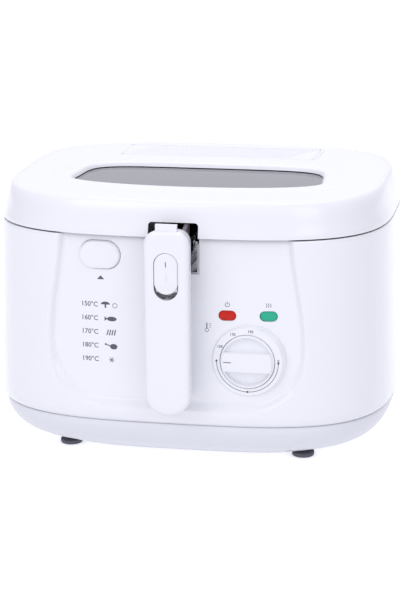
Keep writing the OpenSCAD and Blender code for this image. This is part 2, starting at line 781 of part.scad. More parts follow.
module lid_screws() {
    color(steel) at_body() for (p = lid_posts) translate([p[0], p[1], liner_z - 2])
        screw(1.55, 4.3, 3.2, 2);
}

striker_y = -half_d + 23.2;

// Hook on the lid that the button's catch holds
module lid_striker() {
    x0 = -button_x - 5;
    x1 = -button_x + 5;
    top = top_z - lid_wall;
    color(white) at_body() {
        block(x0, x1, -half_d + 30, -half_d + 43, top - 2, top);
        block(x0, x1, striker_y - 1.5, -half_d + 32, top - 7, top - 3.4);
        block(x0, x1, striker_y - 1.5, striker_y + 1.5, deck_z + 3.5, top - 5);
        block(x0, x1, -half_d + 30, -half_d + 32, top - 6, top - 1);
    }
}

// ---- lid button ----

stem_y1 = -half_d + 36;

// Button cap with its flange, stem and upright catch
module lid_button() {
    face_y = panel_y(button_x) - 3;
    flange_y = -half_d + panel_depth + 8.8;
    color(white) at_body() {
        slab_y(pill(button_w, button_h, -button_x, button_z), face_y, flange_y + 1.5);
        slab_y(pill(button_w + 4, button_h + 3, -button_x, button_z - 1), flange_y, flange_y + 1.5);
        block(-button_x - 6, -button_x + 6, flange_y + 1, stem_y1, button_z - 4, button_z + 3);
        block(-button_x - 5, -button_x + 5, striker_y + 1.9, striker_y + 5, button_z + 1, deck_z + 9);
        rod_y(2.5, stem_y1 - 1, stem_y1 + 6, -button_x, button_z - 0.5);
    }
}

module button_spring() {
    color(steel) at_body() difference() {
        rod_y(3.9, stem_y1 + 0.2, stem_y1 + 7.8, -button_x, button_z - 0.5);
        rod_y(2.9, stem_y1 - 1, stem_y1 + 9, -button_x, button_z - 0.5);
    }
}

// Bracket behind the button that its spring bears on
module button_guide() {
    y1 = stem_y1 + 8;
    color(steel) at_body() difference() {
        union() {
            block(-button_x - 23, -button_x + 23, y1, y1 + 1.5, button_z - 14, deck_z - 1);
            for (s = [-1, 1]) translate([-button_x + s * 22.25 - 0.75, 0, 0])
                block(0, 1.5, panel_depth + 1.94 - wall_y(button_x + 23), y1 + 0.5, button_z - 14, deck_z - 1);
        }
        rod_y(2.9, y1 - 1, y1 + 3, -button_x, button_z - 0.5);
    }
}

// ---- dial ----

knob_face_y = panel_y(dial_x) - 6.5;
knob_rear_y = front_bore_y + 8;

// Knob whose grip is left standing between two scoops
module control_knob() {
    grip = 8.2;
    color(white) at_body() difference() {
        union() {
            rod_y(knob_r, knob_face_y, knob_rear_y, dial_x, dial_z);
            intersection() {
                rod_y(knob_r - 1.6, knob_face_y - 3, knob_face_y + 8, dial_x, dial_z);
                block(dial_x - knob_r, dial_x + knob_r, knob_face_y - 3, knob_face_y + 8,
                      dial_z - grip, dial_z + grip);
            }
        }
        for (s = [-1, 1]) intersection() {
            rod_y(knob_r - 1.6, knob_face_y - 4, knob_face_y + 6, dial_x, dial_z);
            translate([dial_x, 0, dial_z + s * (grip + knob_r)])
                block(-knob_r, knob_r, knob_face_y - 4, knob_face_y + 6, -knob_r, knob_r);
        }
        rod_y(shaft_r, knob_face_y + 4, knob_rear_y + 1, dial_x, dial_z);
    }
}

module thermostat_shaft() {
    color(steel) at_body() rod_y(shaft_r, knob_face_y + 4, thermostat_y + 8, dial_x, dial_z);
}

// ---- basket ----

module basket_mesh() {
    color(steel) at_body() translate([0, vessel_y, 0]) difference() {
        slab(round_rect(basket_hw, basket_hd, 26), basket_floor_z, basket_rim_z - rim_wire);
        slab(round_rect(basket_hw - 1.6, basket_hd - 1.6, 24.4), basket_floor_z + 1.6, basket_rim_z + 1);
    }
}

module basket_rim() {
    r = rim_wire / 2;
    c = 26;
    z = basket_rim_z - r;
    color(steel) at_body() translate([0, vessel_y, z]) {
        for (s = [-1, 1]) {
            rod_x(r, -basket_hw + c, basket_hw - c, s * (basket_hd - r), 0);
            rod_y(r, -basket_hd + c, basket_hd - c, s * (basket_hw - r), 0);
        }
        for (q = [0 : 3]) let (sx = (q == 0 || q == 3) ? 1 : -1, sy = q < 2 ? 1 : -1)
            translate([sx * (basket_hw - c), sy * (basket_hd - c), 0]) rotate([0, 0, q * 90])
                rotate_extrude(angle = 90) translate([c - r, 0]) circle(r = r, $fn = 24);
    }
}

// Two bent plates from the handle's pivot, through the guide and over the vessel's edge, to the rim
module basket_bracket() {
    low = slot_z + 9;
    bar = 12;
    over_z = flange_z + 1;
    over_top = over_z + 7.5;
    rise_y = guide_back_y - 4;
    in_y = vessel_y - basket_hd - 2;
    outline = [
        [pivot_y - ear_r, low], [rise_y, low], [rise_y, over_z], [in_y, over_z], [in_y, basket_rim_z - 12],
        [in_y + 1.9, basket_rim_z - 12], [in_y + 1.9, over_top], [rise_y - bar, over_top],
        [rise_y - bar, low + bar], [pivot_y + ear_r, low + bar], [pivot_y + ear_r, pivot_z],
        [pivot_y - ear_r, pivot_z]
    ];
    color("#d6d8dc") at_body() {
        mirrored_x() difference() {
            union() {
                plate_x(outline, ear_x, ear_x + ear_t);
                rod_x(ear_r, ear_x, ear_x + ear_t, pivot_y, pivot_z);
            }
            rod_x(pivot_r + 0.02, ear_x - 1, ear_x + ear_t + 1, pivot_y, pivot_z);
        }
        block(-ear_x - 0.1, ear_x + 0.1, in_y, in_y + 1.9, basket_rim_z - 12, basket_rim_z + 4);
    }
}

module handle_pin() {
    color(steel) at_body() rod_x(pivot_r, -cheek_x - 1, cheek_x + 1, pivot_y, pivot_z);
}

// ---- handle ----

cheek_x = handle_w / 2 - 2;
handle_end = 16;

// Outline of the handle in X and Z, drawn in by inset, with a round lower end and round shoulders
function handle_outline(inset, top) =
    let (hw = handle_w / 2 - inset, low = handle_low_z + inset, r = 12 - inset)
    concat(
        [for (a = [180 : 10 : 360]) [hw * cos(a), low + handle_end - inset + (handle_end - inset) * sin(a)]],
        [for (a = [0 : 15 : 90]) [hw - r + r * cos(a), top - inset - r + r * sin(a)]],
        [for (a = [90 : 15 : 180]) [-hw + r + r * cos(a), top - inset - r + r * sin(a)]]);

slide_z = handle_top_z - 39;

module handle_front() {
    face_y = handle_face_y;
    color(white) at_body() difference() {
        union() {
            slab_y(handle_outline(0, handle_top_z), face_y + 3, handle_rear_y);
            slab_y(handle_outline(1.2, handle_top_z), face_y + 1, face_y + 3);
            slab_y(handle_outline(3, handle_top_z), face_y, face_y + 1);
        }
        difference() {
            slab_y(handle_outline(2, handle_top_z), face_y + 2.5, handle_rear_y + 1);
            mirrored_x() cam();
        }
        slab_y(pill(slide_slot_w, slide_slot_h, 0, slide_z), face_y - 1, face_y + 4);
        block(-9.7, 9.7, face_y + 3.1, face_y + 7.3, handle_top_z - 4, handle_top_z + 1);
        mirrored_x() rod_x(pivot_r + running, -1, cheek_x + 1.1, pivot_y, pivot_z);
        for (z = handle_screw_z) rod_y(1.3, handle_face_y + 8, handle_rear_y + 1, 0, z);
    }
    color(white) at_body() mirrored_x() difference() {
        cam();
        rod_x(pivot_r + running, cam_x - 1, cam_x + cam_t + 1, pivot_y, pivot_z);
    }
}

handle_screw_z = [handle_low_z + 14, pivot_z - 52];

// Outline of the cam in Y and Z: an involute, so that its rise is even over the quarter turn
function cam_point(a) =
    let (h = cam_low + cam_rise * a * PI / 180)
    [h * sin(a) + cam_rise * cos(a), -h * cos(a) + cam_rise * sin(a)];

module cam() {
    curve = [for (a = [0 : 7.5 : 90]) cam_point(a) + [pivot_y, pivot_z]];
    plate_x(concat([[handle_face_y + 2, pivot_z - cam_low], [pivot_y, pivot_z - cam_low]], curve,
                   [[pivot_y, pivot_z + 5], [handle_face_y + 2, pivot_z + 5]]),
            cam_x, cam_x + cam_t);
}

module handle_back() {
    color(white) at_body() difference() {
        union() {
            intersection() {
                slab_y(handle_outline(2.2, handle_top_z), handle_rear_y - 2, handle_rear_y);
                block(-handle_w, handle_w, handle_rear_y - 3, handle_rear_y + 1, 0, pivot_z - 32);
            }
            for (z = handle_screw_z)
                rod_y(4, handle_face_y + 6, handle_rear_y - 1, 0, z);
            // rib that holds the lower end of the slide's spring
            block(-1.7, 1.7, handle_face_y + 3.6, handle_rear_y - 1, slide_z - 8.6, slide_z - 7);
        }
        for (z = handle_screw_z) {
            rod_y(1.6, handle_face_y + 5, handle_rear_y + 1, 0, z);
            rod_y(3, handle_rear_y - 6, handle_rear_y + 1, 0, z);
        }
    }
}

module handle_screws() {
    color(steel) at_body() for (z = handle_screw_z)
        translate([0, handle_rear_y - 4, z]) rotate([90, 0, 0]) screw(1.25, 9, 2.8, 2);
}

// ---- handle lock ----

slide_h = slide_slot_h - slide_travel - 0.8;

module thumb_slide() {
    z = slide_z + slide_travel / 2;
    color(white) at_body() {
        slab_y(pill(slide_slot_w - 0.8, slide_h, 0, z), handle_face_y - 0.5, handle_face_y + 3.2);
        slab_y(pill(slide_slot_w - 6, slide_h - 8, 0, z), handle_face_y - 1.5, handle_face_y - 0.5);
    }
}

// Bar behind the thumb slide; its upper end stands out of the handle
module latch_bar() {
    y0 = handle_face_y + 3.2;
    color(white) at_body() difference() {
        block(-9.3, 9.3, y0, y0 + 3.6, slide_z - 14, handle_top_z + 5.5);
        block(-2.2, 2.2, y0 - 1, y0 + 5, slide_z - 9, slide_z + 6);
    }
}

module slide_spring() {
    y = handle_face_y + 5;
    color(steel) at_body() difference() {
        rod_z(1.6, slide_z - 6.8, slide_z + 5.8, 0, y);
        rod_z(1.1, slide_z - 7.5, slide_z + 7, 0, y);
    }
}

outer_housing();
base_pan();
rubber_feet();
base_screws();
deck_ring();
deck_screws();
oil_vessel();
heating_element();
heat_shield();
shield_stud();
thermal_cutout();
thermostat_body();
thermostat_bracket();
thermostat_bulb();
capillary_tube();
terminal_block();
lead_wires();
power_lens();
heating_lens();
lamp_holders();
handle_guide();
cord_gland();
button_guide();
hinge_brackets();
hinge_screws();
hinge_pins();
control_knob();
thermostat_shaft();
lid_button();
button_spring();
lid_outer();
lid_liner();
lid_gasket();
window_glass();
window_seal();
steam_grille();
filter_tray();
filter_foam();
filter_charcoal();
hinge_leaves();
leaf_screws();
lid_screws();
lid_striker();
basket_mesh();
basket_rim();
basket_bracket();
handle_pin();
handle_front();
handle_back();
handle_screws();
thumb_slide();
latch_bar();
slide_spring();
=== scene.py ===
"""Deep fryer: the finished shells, wire work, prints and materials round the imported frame."""

import math

import bmesh
import bpy
from bpy.props import FloatProperty, FloatVectorProperty, IntProperty, PointerProperty
from mathutils import Matrix, Vector


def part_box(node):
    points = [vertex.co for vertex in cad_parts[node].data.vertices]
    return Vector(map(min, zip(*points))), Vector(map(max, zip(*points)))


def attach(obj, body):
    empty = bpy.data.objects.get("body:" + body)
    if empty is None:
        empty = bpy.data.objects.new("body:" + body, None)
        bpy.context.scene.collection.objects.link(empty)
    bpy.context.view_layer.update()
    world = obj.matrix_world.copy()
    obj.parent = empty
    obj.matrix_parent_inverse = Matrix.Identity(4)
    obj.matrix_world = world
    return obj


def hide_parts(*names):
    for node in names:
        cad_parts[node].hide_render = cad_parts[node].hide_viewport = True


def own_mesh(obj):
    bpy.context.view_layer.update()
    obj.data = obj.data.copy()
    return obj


bl_info = {
    "name": "Deep fryer",
    "version": (1, 0, 0),
    "blender": (4, 5, 0),
    "location": "3D View > Sidebar > Deep fryer",
    "description": "Builds the visible pieces of a household deep fryer",
    "category": "Object",
}

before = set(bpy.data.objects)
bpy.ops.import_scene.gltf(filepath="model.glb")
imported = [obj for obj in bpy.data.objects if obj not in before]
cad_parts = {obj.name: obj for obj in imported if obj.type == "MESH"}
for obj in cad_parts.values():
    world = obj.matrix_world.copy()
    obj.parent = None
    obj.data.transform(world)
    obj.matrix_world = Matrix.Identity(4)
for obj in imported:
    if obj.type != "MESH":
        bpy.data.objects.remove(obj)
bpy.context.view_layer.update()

MM = 0.001
FULL_TURN = 2 * math.pi
VESSEL_LOW, VESSEL_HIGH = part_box("oil_vessel")
# The vessel's middle lies this many millimetres behind the body's middle
VESSEL_Y = 6.0
MID_Y = (VESSEL_LOW.y + VESSEL_HIGH.y) / 2 - VESSEL_Y * MM

# ---- settings ----


def length(title, text, value):
    return FloatProperty(
        name=title, description=text, default=value, min=0.0, unit="LENGTH", precision=5
    )


def colour(title, text, value):
    return FloatVectorProperty(
        name=title, description=text, default=srgb(value), min=0.0, max=1.0, size=3, subtype="COLOR"
    )


def srgb(text):
    """A hex sRGB colour as linear red, green and blue."""
    values = [int(text[i : i + 2], 16) / 255 for i in (1, 3, 5)]
    return tuple(v / 12.92 if v <= 0.04045 else ((v + 0.055) / 1.055) ** 2.4 for v in values)


class FryerSizes(bpy.types.PropertyGroup):
    """Sizes of the moulded shells, in metres."""

    body_width: length("Body width", "Width of the body at the joint with the lid", 0.360)
    body_depth: length("Body depth", "Depth of the body at the joint with the lid", 0.296)
    outline_power: FloatProperty(
        name="Squareness", description="Squareness of the body's outline", default=3.34, min=2.0
    )
    wall: length("Wall", "Wall of the housing and the base", 0.0025)
    panel_depth: length("Panel depth", "Depth of the front panel below the body", 0.007)
    panel_half_width: length("Panel half width", "Half width of the front panel", 0.116)
    panel_low: length("Panel edge", "Height of the front panel's lower edge", 0.052)
    panel_corner: length("Panel corner", "Radius of the front panel's lower corners", 0.052)
    window_width: length("Window width", "Width of the window opening", 0.224)
    window_depth: length("Window depth", "Depth of the window opening", 0.100)
    mesh_pitch: length("Mesh pitch", "Distance between the basket's wires", 0.007)
    mesh_wire: length("Mesh wire", "Radius of the basket's wires", 0.00055)
    grille_bars: IntProperty(name="Grille bars", description="Bars in the steam grille", default=40, min=4)


class FryerColours(bpy.types.PropertyGroup):
    """Colours of the moulded and printed surfaces."""

    shell: colour("Shell", "White moulded shells", "#f3f3f7")
    base: colour("Base", "Base under the housing", "#e9e9ef")
    power: colour("Power lamp", "Lens of the power lamp", "#c01a06")
    heating: colour("Heating lamp", "Lens of the heating lamp", "#2aa886")
    print_grey: colour("Print", "Ink of the printed marks", "#5a5c64")


# ---- materials ----


def add_node(tree, kind, settings=None, links=None):
    """Adds a node, sets its values and links its inputs, which are named or counted."""
    made = tree.nodes.new(kind)
    for key, value in (settings or {}).items():
        if isinstance(key, str) and key in made.bl_rna.properties:
            setattr(made, key, value)
        else:
            made.inputs[key].default_value = value
    for key, source in (links or {}).items():
        tree.links.new(source, made.inputs[key])
    return made


def finish_material(
    name, base, rough, metallic=0.0, grain=8.0, relief=0.01, mottle=0.0, patches=60.0, spread=0.05,
    stretch=(1.0, 1.0, 1.0), **more,
):
    """A surface whose tone, roughness and height vary. Its grain, relief and patches are in
    millimetres; mottle and spread say how far the tone and the roughness vary."""
    made = bpy.data.materials.new(name)
    made.use_nodes = True
    tree = made.node_tree
    tree.nodes.clear()
    place = add_node(tree, "ShaderNodeTexCoord").outputs["Object"]
    mapped = add_node(tree, "ShaderNodeMapping", {"Scale": stretch}, {"Vector": place})
    wide = add_node(
        tree, "ShaderNodeTexNoise", {"Scale": 1 / MM / patches, "Detail": 3.0}, {"Vector": place}
    )
    fine = add_node(
        tree,
        "ShaderNodeTexNoise",
        {"Scale": 1 / MM / grain, "Detail": 2.0},
        {"Vector": mapped.outputs["Vector"]},
    )
    dark = tuple(max(0.0, c * (1 - 2 * mottle)) for c in base) + (1.0,)
    light = tuple(min(1.0, c * (1 + mottle)) for c in base) + (1.0,)
    tone = add_node(
        tree, "ShaderNodeMix", {"data_type": "RGBA", 6: dark, 7: light}, {"Factor": wide.outputs["Fac"]}
    )
    shine = add_node(
        tree,
        "ShaderNodeMapRange",
        {"To Min": max(0.02, rough - spread), "To Max": min(1.0, rough + spread)},
        {"Value": wide.outputs["Fac"]},
    )
    bump = add_node(
        tree, "ShaderNodeBump", {"Strength": 0.6, "Distance": relief * MM}, {"Height": fine.outputs["Fac"]}
    )
    shader = add_node(
        tree,
        "ShaderNodeBsdfPrincipled",
        {"Metallic": metallic, **{key.replace("_", " "): value for key, value in more.items()}},
        {
            "Base Color": tone.outputs[2],
            "Roughness": shine.outputs["Result"],
            "Normal": bump.outputs["Normal"],
        },
    )
    add_node(tree, "ShaderNodeOutputMaterial", {}, {"Surface": shader.outputs["BSDF"]})
    return made


def make_materials():
    """Every finish of the fryer, by the name that the pieces ask for."""
    tints = bpy.context.scene.fryer_colours
    steel, plate = srgb("#c3c5c9"), srgb("#d9dadd")
    # Injection-moulded ABS from a polished tool: bright, with a faint flow ripple
    finish_material(
        "polished white ABS", tints.shell, 0.24, grain=9.0, mottle=0.004, IOR=1.53,
        Coat_Weight=0.25, Coat_Roughness=0.08,
    )
    # The same ABS from a fine-eroded tool: an even satin
    finish_material("satin white ABS", tints.shell, 0.42, grain=0.8, mottle=0.006, IOR=1.53)
    # Heat-stable polypropylene of the base: slightly greyer, satin
    finish_material("satin grey polypropylene", tints.base, 0.36, grain=1.2, mottle=0.01, IOR=1.49)
    # Phenolic moulding near the heat: matt black with a fine grain
    finish_material(
        "black phenolic", srgb("#232126"), 0.5, grain=0.9, relief=0.03, mottle=0.08, IOR=1.6
    )
    # The cams' slippery grade: a purplish dark grey, partly the part's own colour and partly painted light,
    # lighter than the part so that the shaded slot round the cams is not black
    finish_material(
        "grey phenolic", srgb("#6e646e"), 0.45, grain=0.9, relief=0.02, mottle=0.06, IOR=1.6
    )
    # Soft nitrile feet: dull, slightly dusty
    finish_material(
        "grey nitrile rubber", srgb("#5c5d66"), 0.75, grain=1.5, relief=0.06, mottle=0.12, IOR=1.5
    )
    # Moulded silicone: a waxy look
    for name, tint, mottle in (("grey silicone", "#a9abb3", 0.05), ("black silicone", "#27272b", 0.08)):
        finish_material(name, srgb(tint), 0.55, grain=2.0, relief=0.03, mottle=mottle, IOR=1.41)
    # Lamp lenses in cast acrylic: deep colour with a faint glow under a clear skin
    for name, tint, glow in (
        ("red acrylic", tints.power, "#ff2a08"),
        ("green acrylic", tints.heating, "#38cfa4"),
    ):
        finish_material(
            name, tint, 0.12, grain=3.0, mottle=0.05, IOR=1.49, Specular_IOR_Level=0.25,
            Emission_Color=srgb(glow) + (1.0,), Emission_Strength=0.08,
        )
    # Pad-printed ink: flat and slightly uneven
    finish_material("grey printing ink", tints.print_grey, 0.6, grain=0.6, mottle=0.1, IOR=1.5)
    # Tempered pane with a grey film: dark, with clean reflections
    finish_material(
        "grey tempered glass", srgb("#54575e"), 0.05, grain=30.0, mottle=0.02, spread=0.01, IOR=1.52,
        Transmission_Weight=0.55, Coat_Weight=0.4,
    )
    # Cold-rolled sheet with a zinc coat: small pale flowers in the grey
    finish_material(
        "zinc-plated sheet", steel, 0.38, 1.0, grain=2.5, relief=0.02, mottle=0.1, patches=9.0
    )
    # Nickel plate on steel wire and sheet: bright, with a faint haze
    finish_material("bright nickel plate", plate, 0.16, 1.0, grain=6.0, mottle=0.04, patches=20.0)
    # Ground pins: fine rings round the axis
    finish_material(
        "ground steel", steel, 0.26, 1.0, grain=0.7, mottle=0.06, stretch=(4.0, 0.4, 1.0)
    )
    # Pressed aluminium sheet: satin, with drawing marks along its length
    finish_material(
        "pressed aluminium", srgb("#b9bbc0"), 0.36, 1.0, grain=1.4, relief=0.02, mottle=0.05,
        stretch=(0.15, 1.5, 1.0),
    )
    # Sprayed PTFE on aluminium: dark grey with fine pale specks
    finish_material(
        "speckled non-stick", srgb("#55575c"), 0.34, 0.1, grain=1.1, relief=0.04, mottle=0.22, patches=3.0
    )
    # Steel sheath of the heater, browned by heat in wide patches
    finish_material(
        "heat-tinted steel", srgb("#7a6a5c"), 0.45, 1.0, grain=3.0, relief=0.03, mottle=0.25, patches=18.0
    )
    # Drawn copper tube: warm and bright, darker where it was handled
    finish_material("drawn copper", srgb("#b8734a"), 0.3, 1.0, grain=2.0, mottle=0.12, patches=12.0)
    # Steatite: pressed and fired, matt cream
    finish_material(
        "cream steatite", srgb("#ddd5c2"), 0.7, grain=0.7, relief=0.04, mottle=0.06, IOR=1.55
    )
    # Extruded PVC round the wires: an even half gloss
    finish_material("blue PVC insulation", srgb("#335f9e"), 0.4, grain=2.0, mottle=0.05, IOR=1.53)
    # Open-cell foam and charcoal felt: rough, with deep pores
    finish_material(
        "cream filter foam", srgb("#e6e2d2"), 0.95, grain=1.6, relief=0.6, mottle=0.15, patches=4.0
    )
    finish_material(
        "charcoal felt", srgb("#1d1d20"), 0.95, grain=1.2, relief=0.5, mottle=0.3, patches=4.0
    )


# ---- shape helpers: everything is drawn in millimetres about the middle of the body ----


def outline_radius(angle, inset):
    sizes = bpy.context.scene.fryer_sizes
    half_w, half_d, power = sizes.body_width * 500, sizes.body_depth * 500, sizes.outline_power
    across = (abs(math.cos(angle)) / (half_w - inset)) ** power
    along = (abs(math.sin(angle)) / (half_d - inset)) ** power
    return (across + along) ** (-1 / power)


def smooth(t):
    t = min(1.0, max(0.0, t))
    return t * t * (3 - 2 * t)


def panel_sink(x, z):
    """How far the front panel lies below the body at x and z."""
    sizes = bpy.context.scene.fryer_sizes
    low, corner = sizes.panel_low / MM, sizes.panel_corner / MM
    side = sizes.panel_half_width / MM - 11 * smooth((z - low - 60) / 100)
    across, down = abs(x) - (side - corner), low + corner - z
    edge = math.hypot(max(across, 0), max(down, 0)) + min(max(across, down), 0) - corner
    return sizes.panel_depth / MM * smooth(-edge / 8)


def turn_angles(steps, dense=None):
    """Angles round the body; the stretch in dense, given in degrees, takes its own step."""
    if dense is None:
        return [FULL_TURN * i / steps for i in range(steps)]
    low, high, step = dense
    rest = 360 - (high - low)
    coarse = [high + rest * i / steps for i in range(steps)]
    count = round((high - low) / step)
    fine = [low + (high - low) * i / count for i in range(count)]
    return [math.radians(a) for a in fine + coarse]


def body_ring(angles, inset, z, panel=False):
    made = []
    for a in angles:
        r = outline_radius(a, inset)
        x, y = r * math.cos(a), r * math.sin(a)
        if panel and y < 0:
            y += panel_sink(x, z)
        made.append((x, y, z))
    return made


def window_ring(angles, grow, z):
    """Outline of the window: straight at the back, bowed at the front."""
    sizes = bpy.context.scene.fryer_sizes
    half_w, half_d = sizes.window_width * 500 + grow, sizes.window_depth * 500 + grow
    made = []
    for a in angles:
        r = ((abs(math.cos(a)) / half_w) ** 5 + (abs(math.sin(a)) / half_d) ** 5) ** -0.2
        x, y = r * math.cos(a), r * math.sin(a)
        bow = WINDOW_BOW * (x / half_w) ** 2 * max(0.0, -y / half_d)
        made.append((x * (1 - WINDOW_TAPER * y / half_d), WINDOW_Y + y + bow, z))
    return made


def body_inset(z):
    """Inset of the housing's wall at height z: it swells out from both of its rims."""
    # height and inset
    table = [
        (38.7, 2.6), (39.5, 1.5), (41, -0.4), (43, -1.4), (48, -2.3), (60, -2.4), (100, -1.4),
        (150, -0.2), (190, 1.2), (204, 1.75), (205.4, 2.3),
    ]
    for (z0, v0), (z1, v1) in zip(table, table[1:]):
        if z <= z1:
            return v0 + (v1 - v0) * (z - z0) / (z1 - z0)
    return table[-1][1]


def front_y(x, z):
    """Depth of the housing's front surface at x and z."""
    sizes = bpy.context.scene.fryer_sizes
    inset = body_inset(z)
    half_w, half_d = sizes.body_width * 500 - inset, sizes.body_depth * 500 - inset
    power = sizes.outline_power
    return -half_d * (1 - (abs(x) / half_w) ** power) ** (1 / power) + panel_sink(x, z)


def round_rect(half_w, half_d, radius, steps=10):
    made = []
    for q in range(4):
        sx, sy = (1 if q in (0, 3) else -1), (1 if q < 2 else -1)
        for i in range(steps + 1):
            a = math.radians(90 * (q + i / steps))
            x = sx * (half_w - radius) + radius * math.cos(a)
            made.append((x, sy * (half_d - radius) + radius * math.sin(a)))
    return made


def pill(width, height, x, z, inset=0.0, steps=12):
    """A pill outline in X and Z."""
    half_w, half_h = width / 2 - inset, height / 2 - inset
    radius = max(0.05, min(half_w, half_h) - 0.02)
    return [(p[0] + x, p[1] + z) for p in round_rect(half_w, half_h, radius, steps)]


def oval(x, z, half_w, half_h, steps=20):
    return [(x + half_w * math.cos(a), z + half_h * math.sin(a)) for a in turn_angles(steps)]


def circle(radius, x, z, steps=96):
    return oval(x, z, radius, radius, steps)


def flat(outline, z, back=0.0):
    """The outline lying level at height z, moved back."""
    return [(x, y + back, z) for x, y in outline]


def upright(outline, y):
    """The outline standing at depth y."""
    return [(x, y, z) for x, z in outline]


def between(first, second, share, z):
    """A level ring part of the way from one ring to another."""
    return [(a[0] * (1 - share) + b[0] * share, a[1] * (1 - share) + b[1] * share, z)
            for a, b in zip(first, second)]


def loft(rings, closed=False):
    """Faces over rings of points, with both ends capped unless the rings close on themselves."""
    n, m = len(rings[0]), len(rings)
    points = [p for ring in rings for p in ring]
    faces = []
    for j in range(m if closed else m - 1):
        a, b = j * n, ((j + 1) % m) * n
        faces += [(a + i, a + (i + 1) % n, b + (i + 1) % n, b + i) for i in range(n)]
    if not closed:
        faces += [tuple(range(n - 1, -1, -1)), tuple(range((m - 1) * n, m * n))]
    return points, faces


def joined(*parts):
    points, faces = [], []
    for more, sides in parts:
        start = len(points)
        points += more
        faces += [tuple(start + i for i in f) for f in sides]
    return points, faces


def box_part(x0, x1, y0, y1, z0, z1):
    corners = [(x0, y0), (x1, y0), (x1, y1), (x0, y1)]
    return loft([flat(corners, z0), flat(corners, z1)])


def prism_y(outline, y0, y1):
    """An outline in X and Z made solid from y0 to y1."""
    return loft([upright(outline, y0), upright(outline, y1)])


def rod(radius, start, end, steps=32):
    a, b = Vector(start), Vector(end)
    turn = (b - a).to_track_quat("Z", "Y")
    ring = [turn @ Vector((radius * math.cos(t), radius * math.sin(t), 0)) for t in turn_angles(steps)]
    return loft([[tuple(p + a) for p in ring], [tuple(p + b) for p in ring]])


def plain_object(name, points, edges, faces):
    """A mesh object in the frame's metres, from points in millimetres."""
    mesh = bpy.data.meshes.new(name)
    mesh.from_pydata([(x * MM, y * MM + MID_Y, z * MM) for x, y, z in points], edges, faces)
    made = bpy.data.objects.new(name, mesh)
    bpy.context.scene.collection.objects.link(made)
    return made


def mesh_object(name, part):
    """A closed part as an object, with its faces pointing out."""
    points, faces = part
    made = plain_object(name, points, [], faces)
    work = bmesh.new()
    work.from_mesh(made.data)
    for island in islands(work):
        if volume(island) < 0:
            bmesh.ops.reverse_faces(work, faces=island)
    work.to_mesh(made.data)
    work.free()
    return made


def islands(work):
    """The faces of a mesh, in groups that hang together."""
    left, made = set(work.faces), []
    while left:
        stack, group = [left.pop()], []
        while stack:
            face = stack.pop()
            group.append(face)
            for edge in face.edges:
                for other in edge.link_faces:
                    if other in left:
                        left.remove(other)
                        stack.append(other)
        made.append(group)
    return made


def volume(faces):
    """Six times the volume inside the faces, negative where they point inwards."""
    total = 0.0
    for face in faces:
        first = face.verts[0].co
        for a, b in zip(face.verts[1:], face.verts[2:]):
            total += first.dot(a.co.cross(b.co))
    return total


def baked(obj):
    """Turns the object's modifiers into plain mesh."""
    bpy.context.view_layer.update()
    result = bpy.data.meshes.new_from_object(obj.evaluated_get(bpy.context.evaluated_depsgraph_get()))
    obj.modifiers.clear()
    old = obj.data
    obj.data = result
    result.name = obj.name
    if old.users == 0:
        bpy.data.meshes.remove(old)
    return obj


def boolean(obj, tool, operation, crossing):
    """Cuts the tool away from the object, or joins it on; crossing tools overlap themselves."""
    step = obj.modifiers.new("step", "BOOLEAN")
    step.operation, step.solver, step.object = operation, "EXACT", tool
    step.use_self = crossing
    baked(obj)
    bpy.data.objects.remove(tool)


def combine(obj, part, operation="DIFFERENCE"):
    boolean(obj, mesh_object("tool", part), operation, True)


def round_edges(obj, width, angle):
    step = obj.modifiers.new("edges", "BEVEL")
    step.width, step.segments, step.limit_method = width * MM, 3, "ANGLE"
    step.angle_limit = math.radians(angle)
    baked(obj)


def complete(obj, finish, body, nodes, angle=32):
    """Shades a piece, gives it its finish and puts it on its body."""
    mesh = obj.data
    mesh.shade_smooth()
    mesh.set_sharp_from_angle(angle=math.radians(angle))
    mesh.materials.clear()
    mesh.materials.append(bpy.data.materials[finish])
    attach(obj, body)
    if nodes:
        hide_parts(*nodes)


def rounded_plate(outline, rear_y, face_y, radius, crown):
    """A plate in X and Z: outline(inset) gives its edge, its front is rounded over by the radius,
    and crown(z, share) says how far the face stands out, share of the way to its middle line."""
    steps = 6
    rings = [upright(outline(0), rear_y)]
    for i in range(steps + 1):
        a = math.radians(90 * i / steps)
        rings.append(upright(outline(radius * (1 - math.cos(a))), face_y + radius * (1 - math.sin(a))))
    inner = outline(radius)
    middle = sum(x for x, z in inner) / len(inner)
    for share in (0.12, 0.25, 0.4, 0.55, 0.7, 0.85, 0.97):
        ring = []
        for x, z in inner:
            level = z + (crown_spine(z, inner) - z) * share
            ring.append((x + (middle - x) * share, face_y - crown(level, share), level))
        rings.append(ring)
    return loft(rings)


def crown_spine(z, outline):
    """The height on the outline's middle line that a point at height z is drawn towards."""
    zs, xs = [p[1] for p in outline], [p[0] for p in outline]
    low, high, half = min(zs), max(zs), (max(xs) - min(xs)) / 2
    return min(max(z, low + half), high - half) if high - low > 2 * half else (low + high) / 2


# ---- Geometry Nodes ----


def new_tree(name, inputs):
    tree = bpy.data.node_groups.new(name, "GeometryNodeTree")
    tree.interface.new_socket("Geometry", in_out="INPUT", socket_type="NodeSocketGeometry")
    tree.interface.new_socket("Geometry", in_out="OUTPUT", socket_type="NodeSocketGeometry")
    for label, kind in inputs:
        tree.interface.new_socket(label, in_out="INPUT", socket_type=kind)
    return tree, add_node(tree, "NodeGroupInput"), add_node(tree, "NodeGroupOutput")


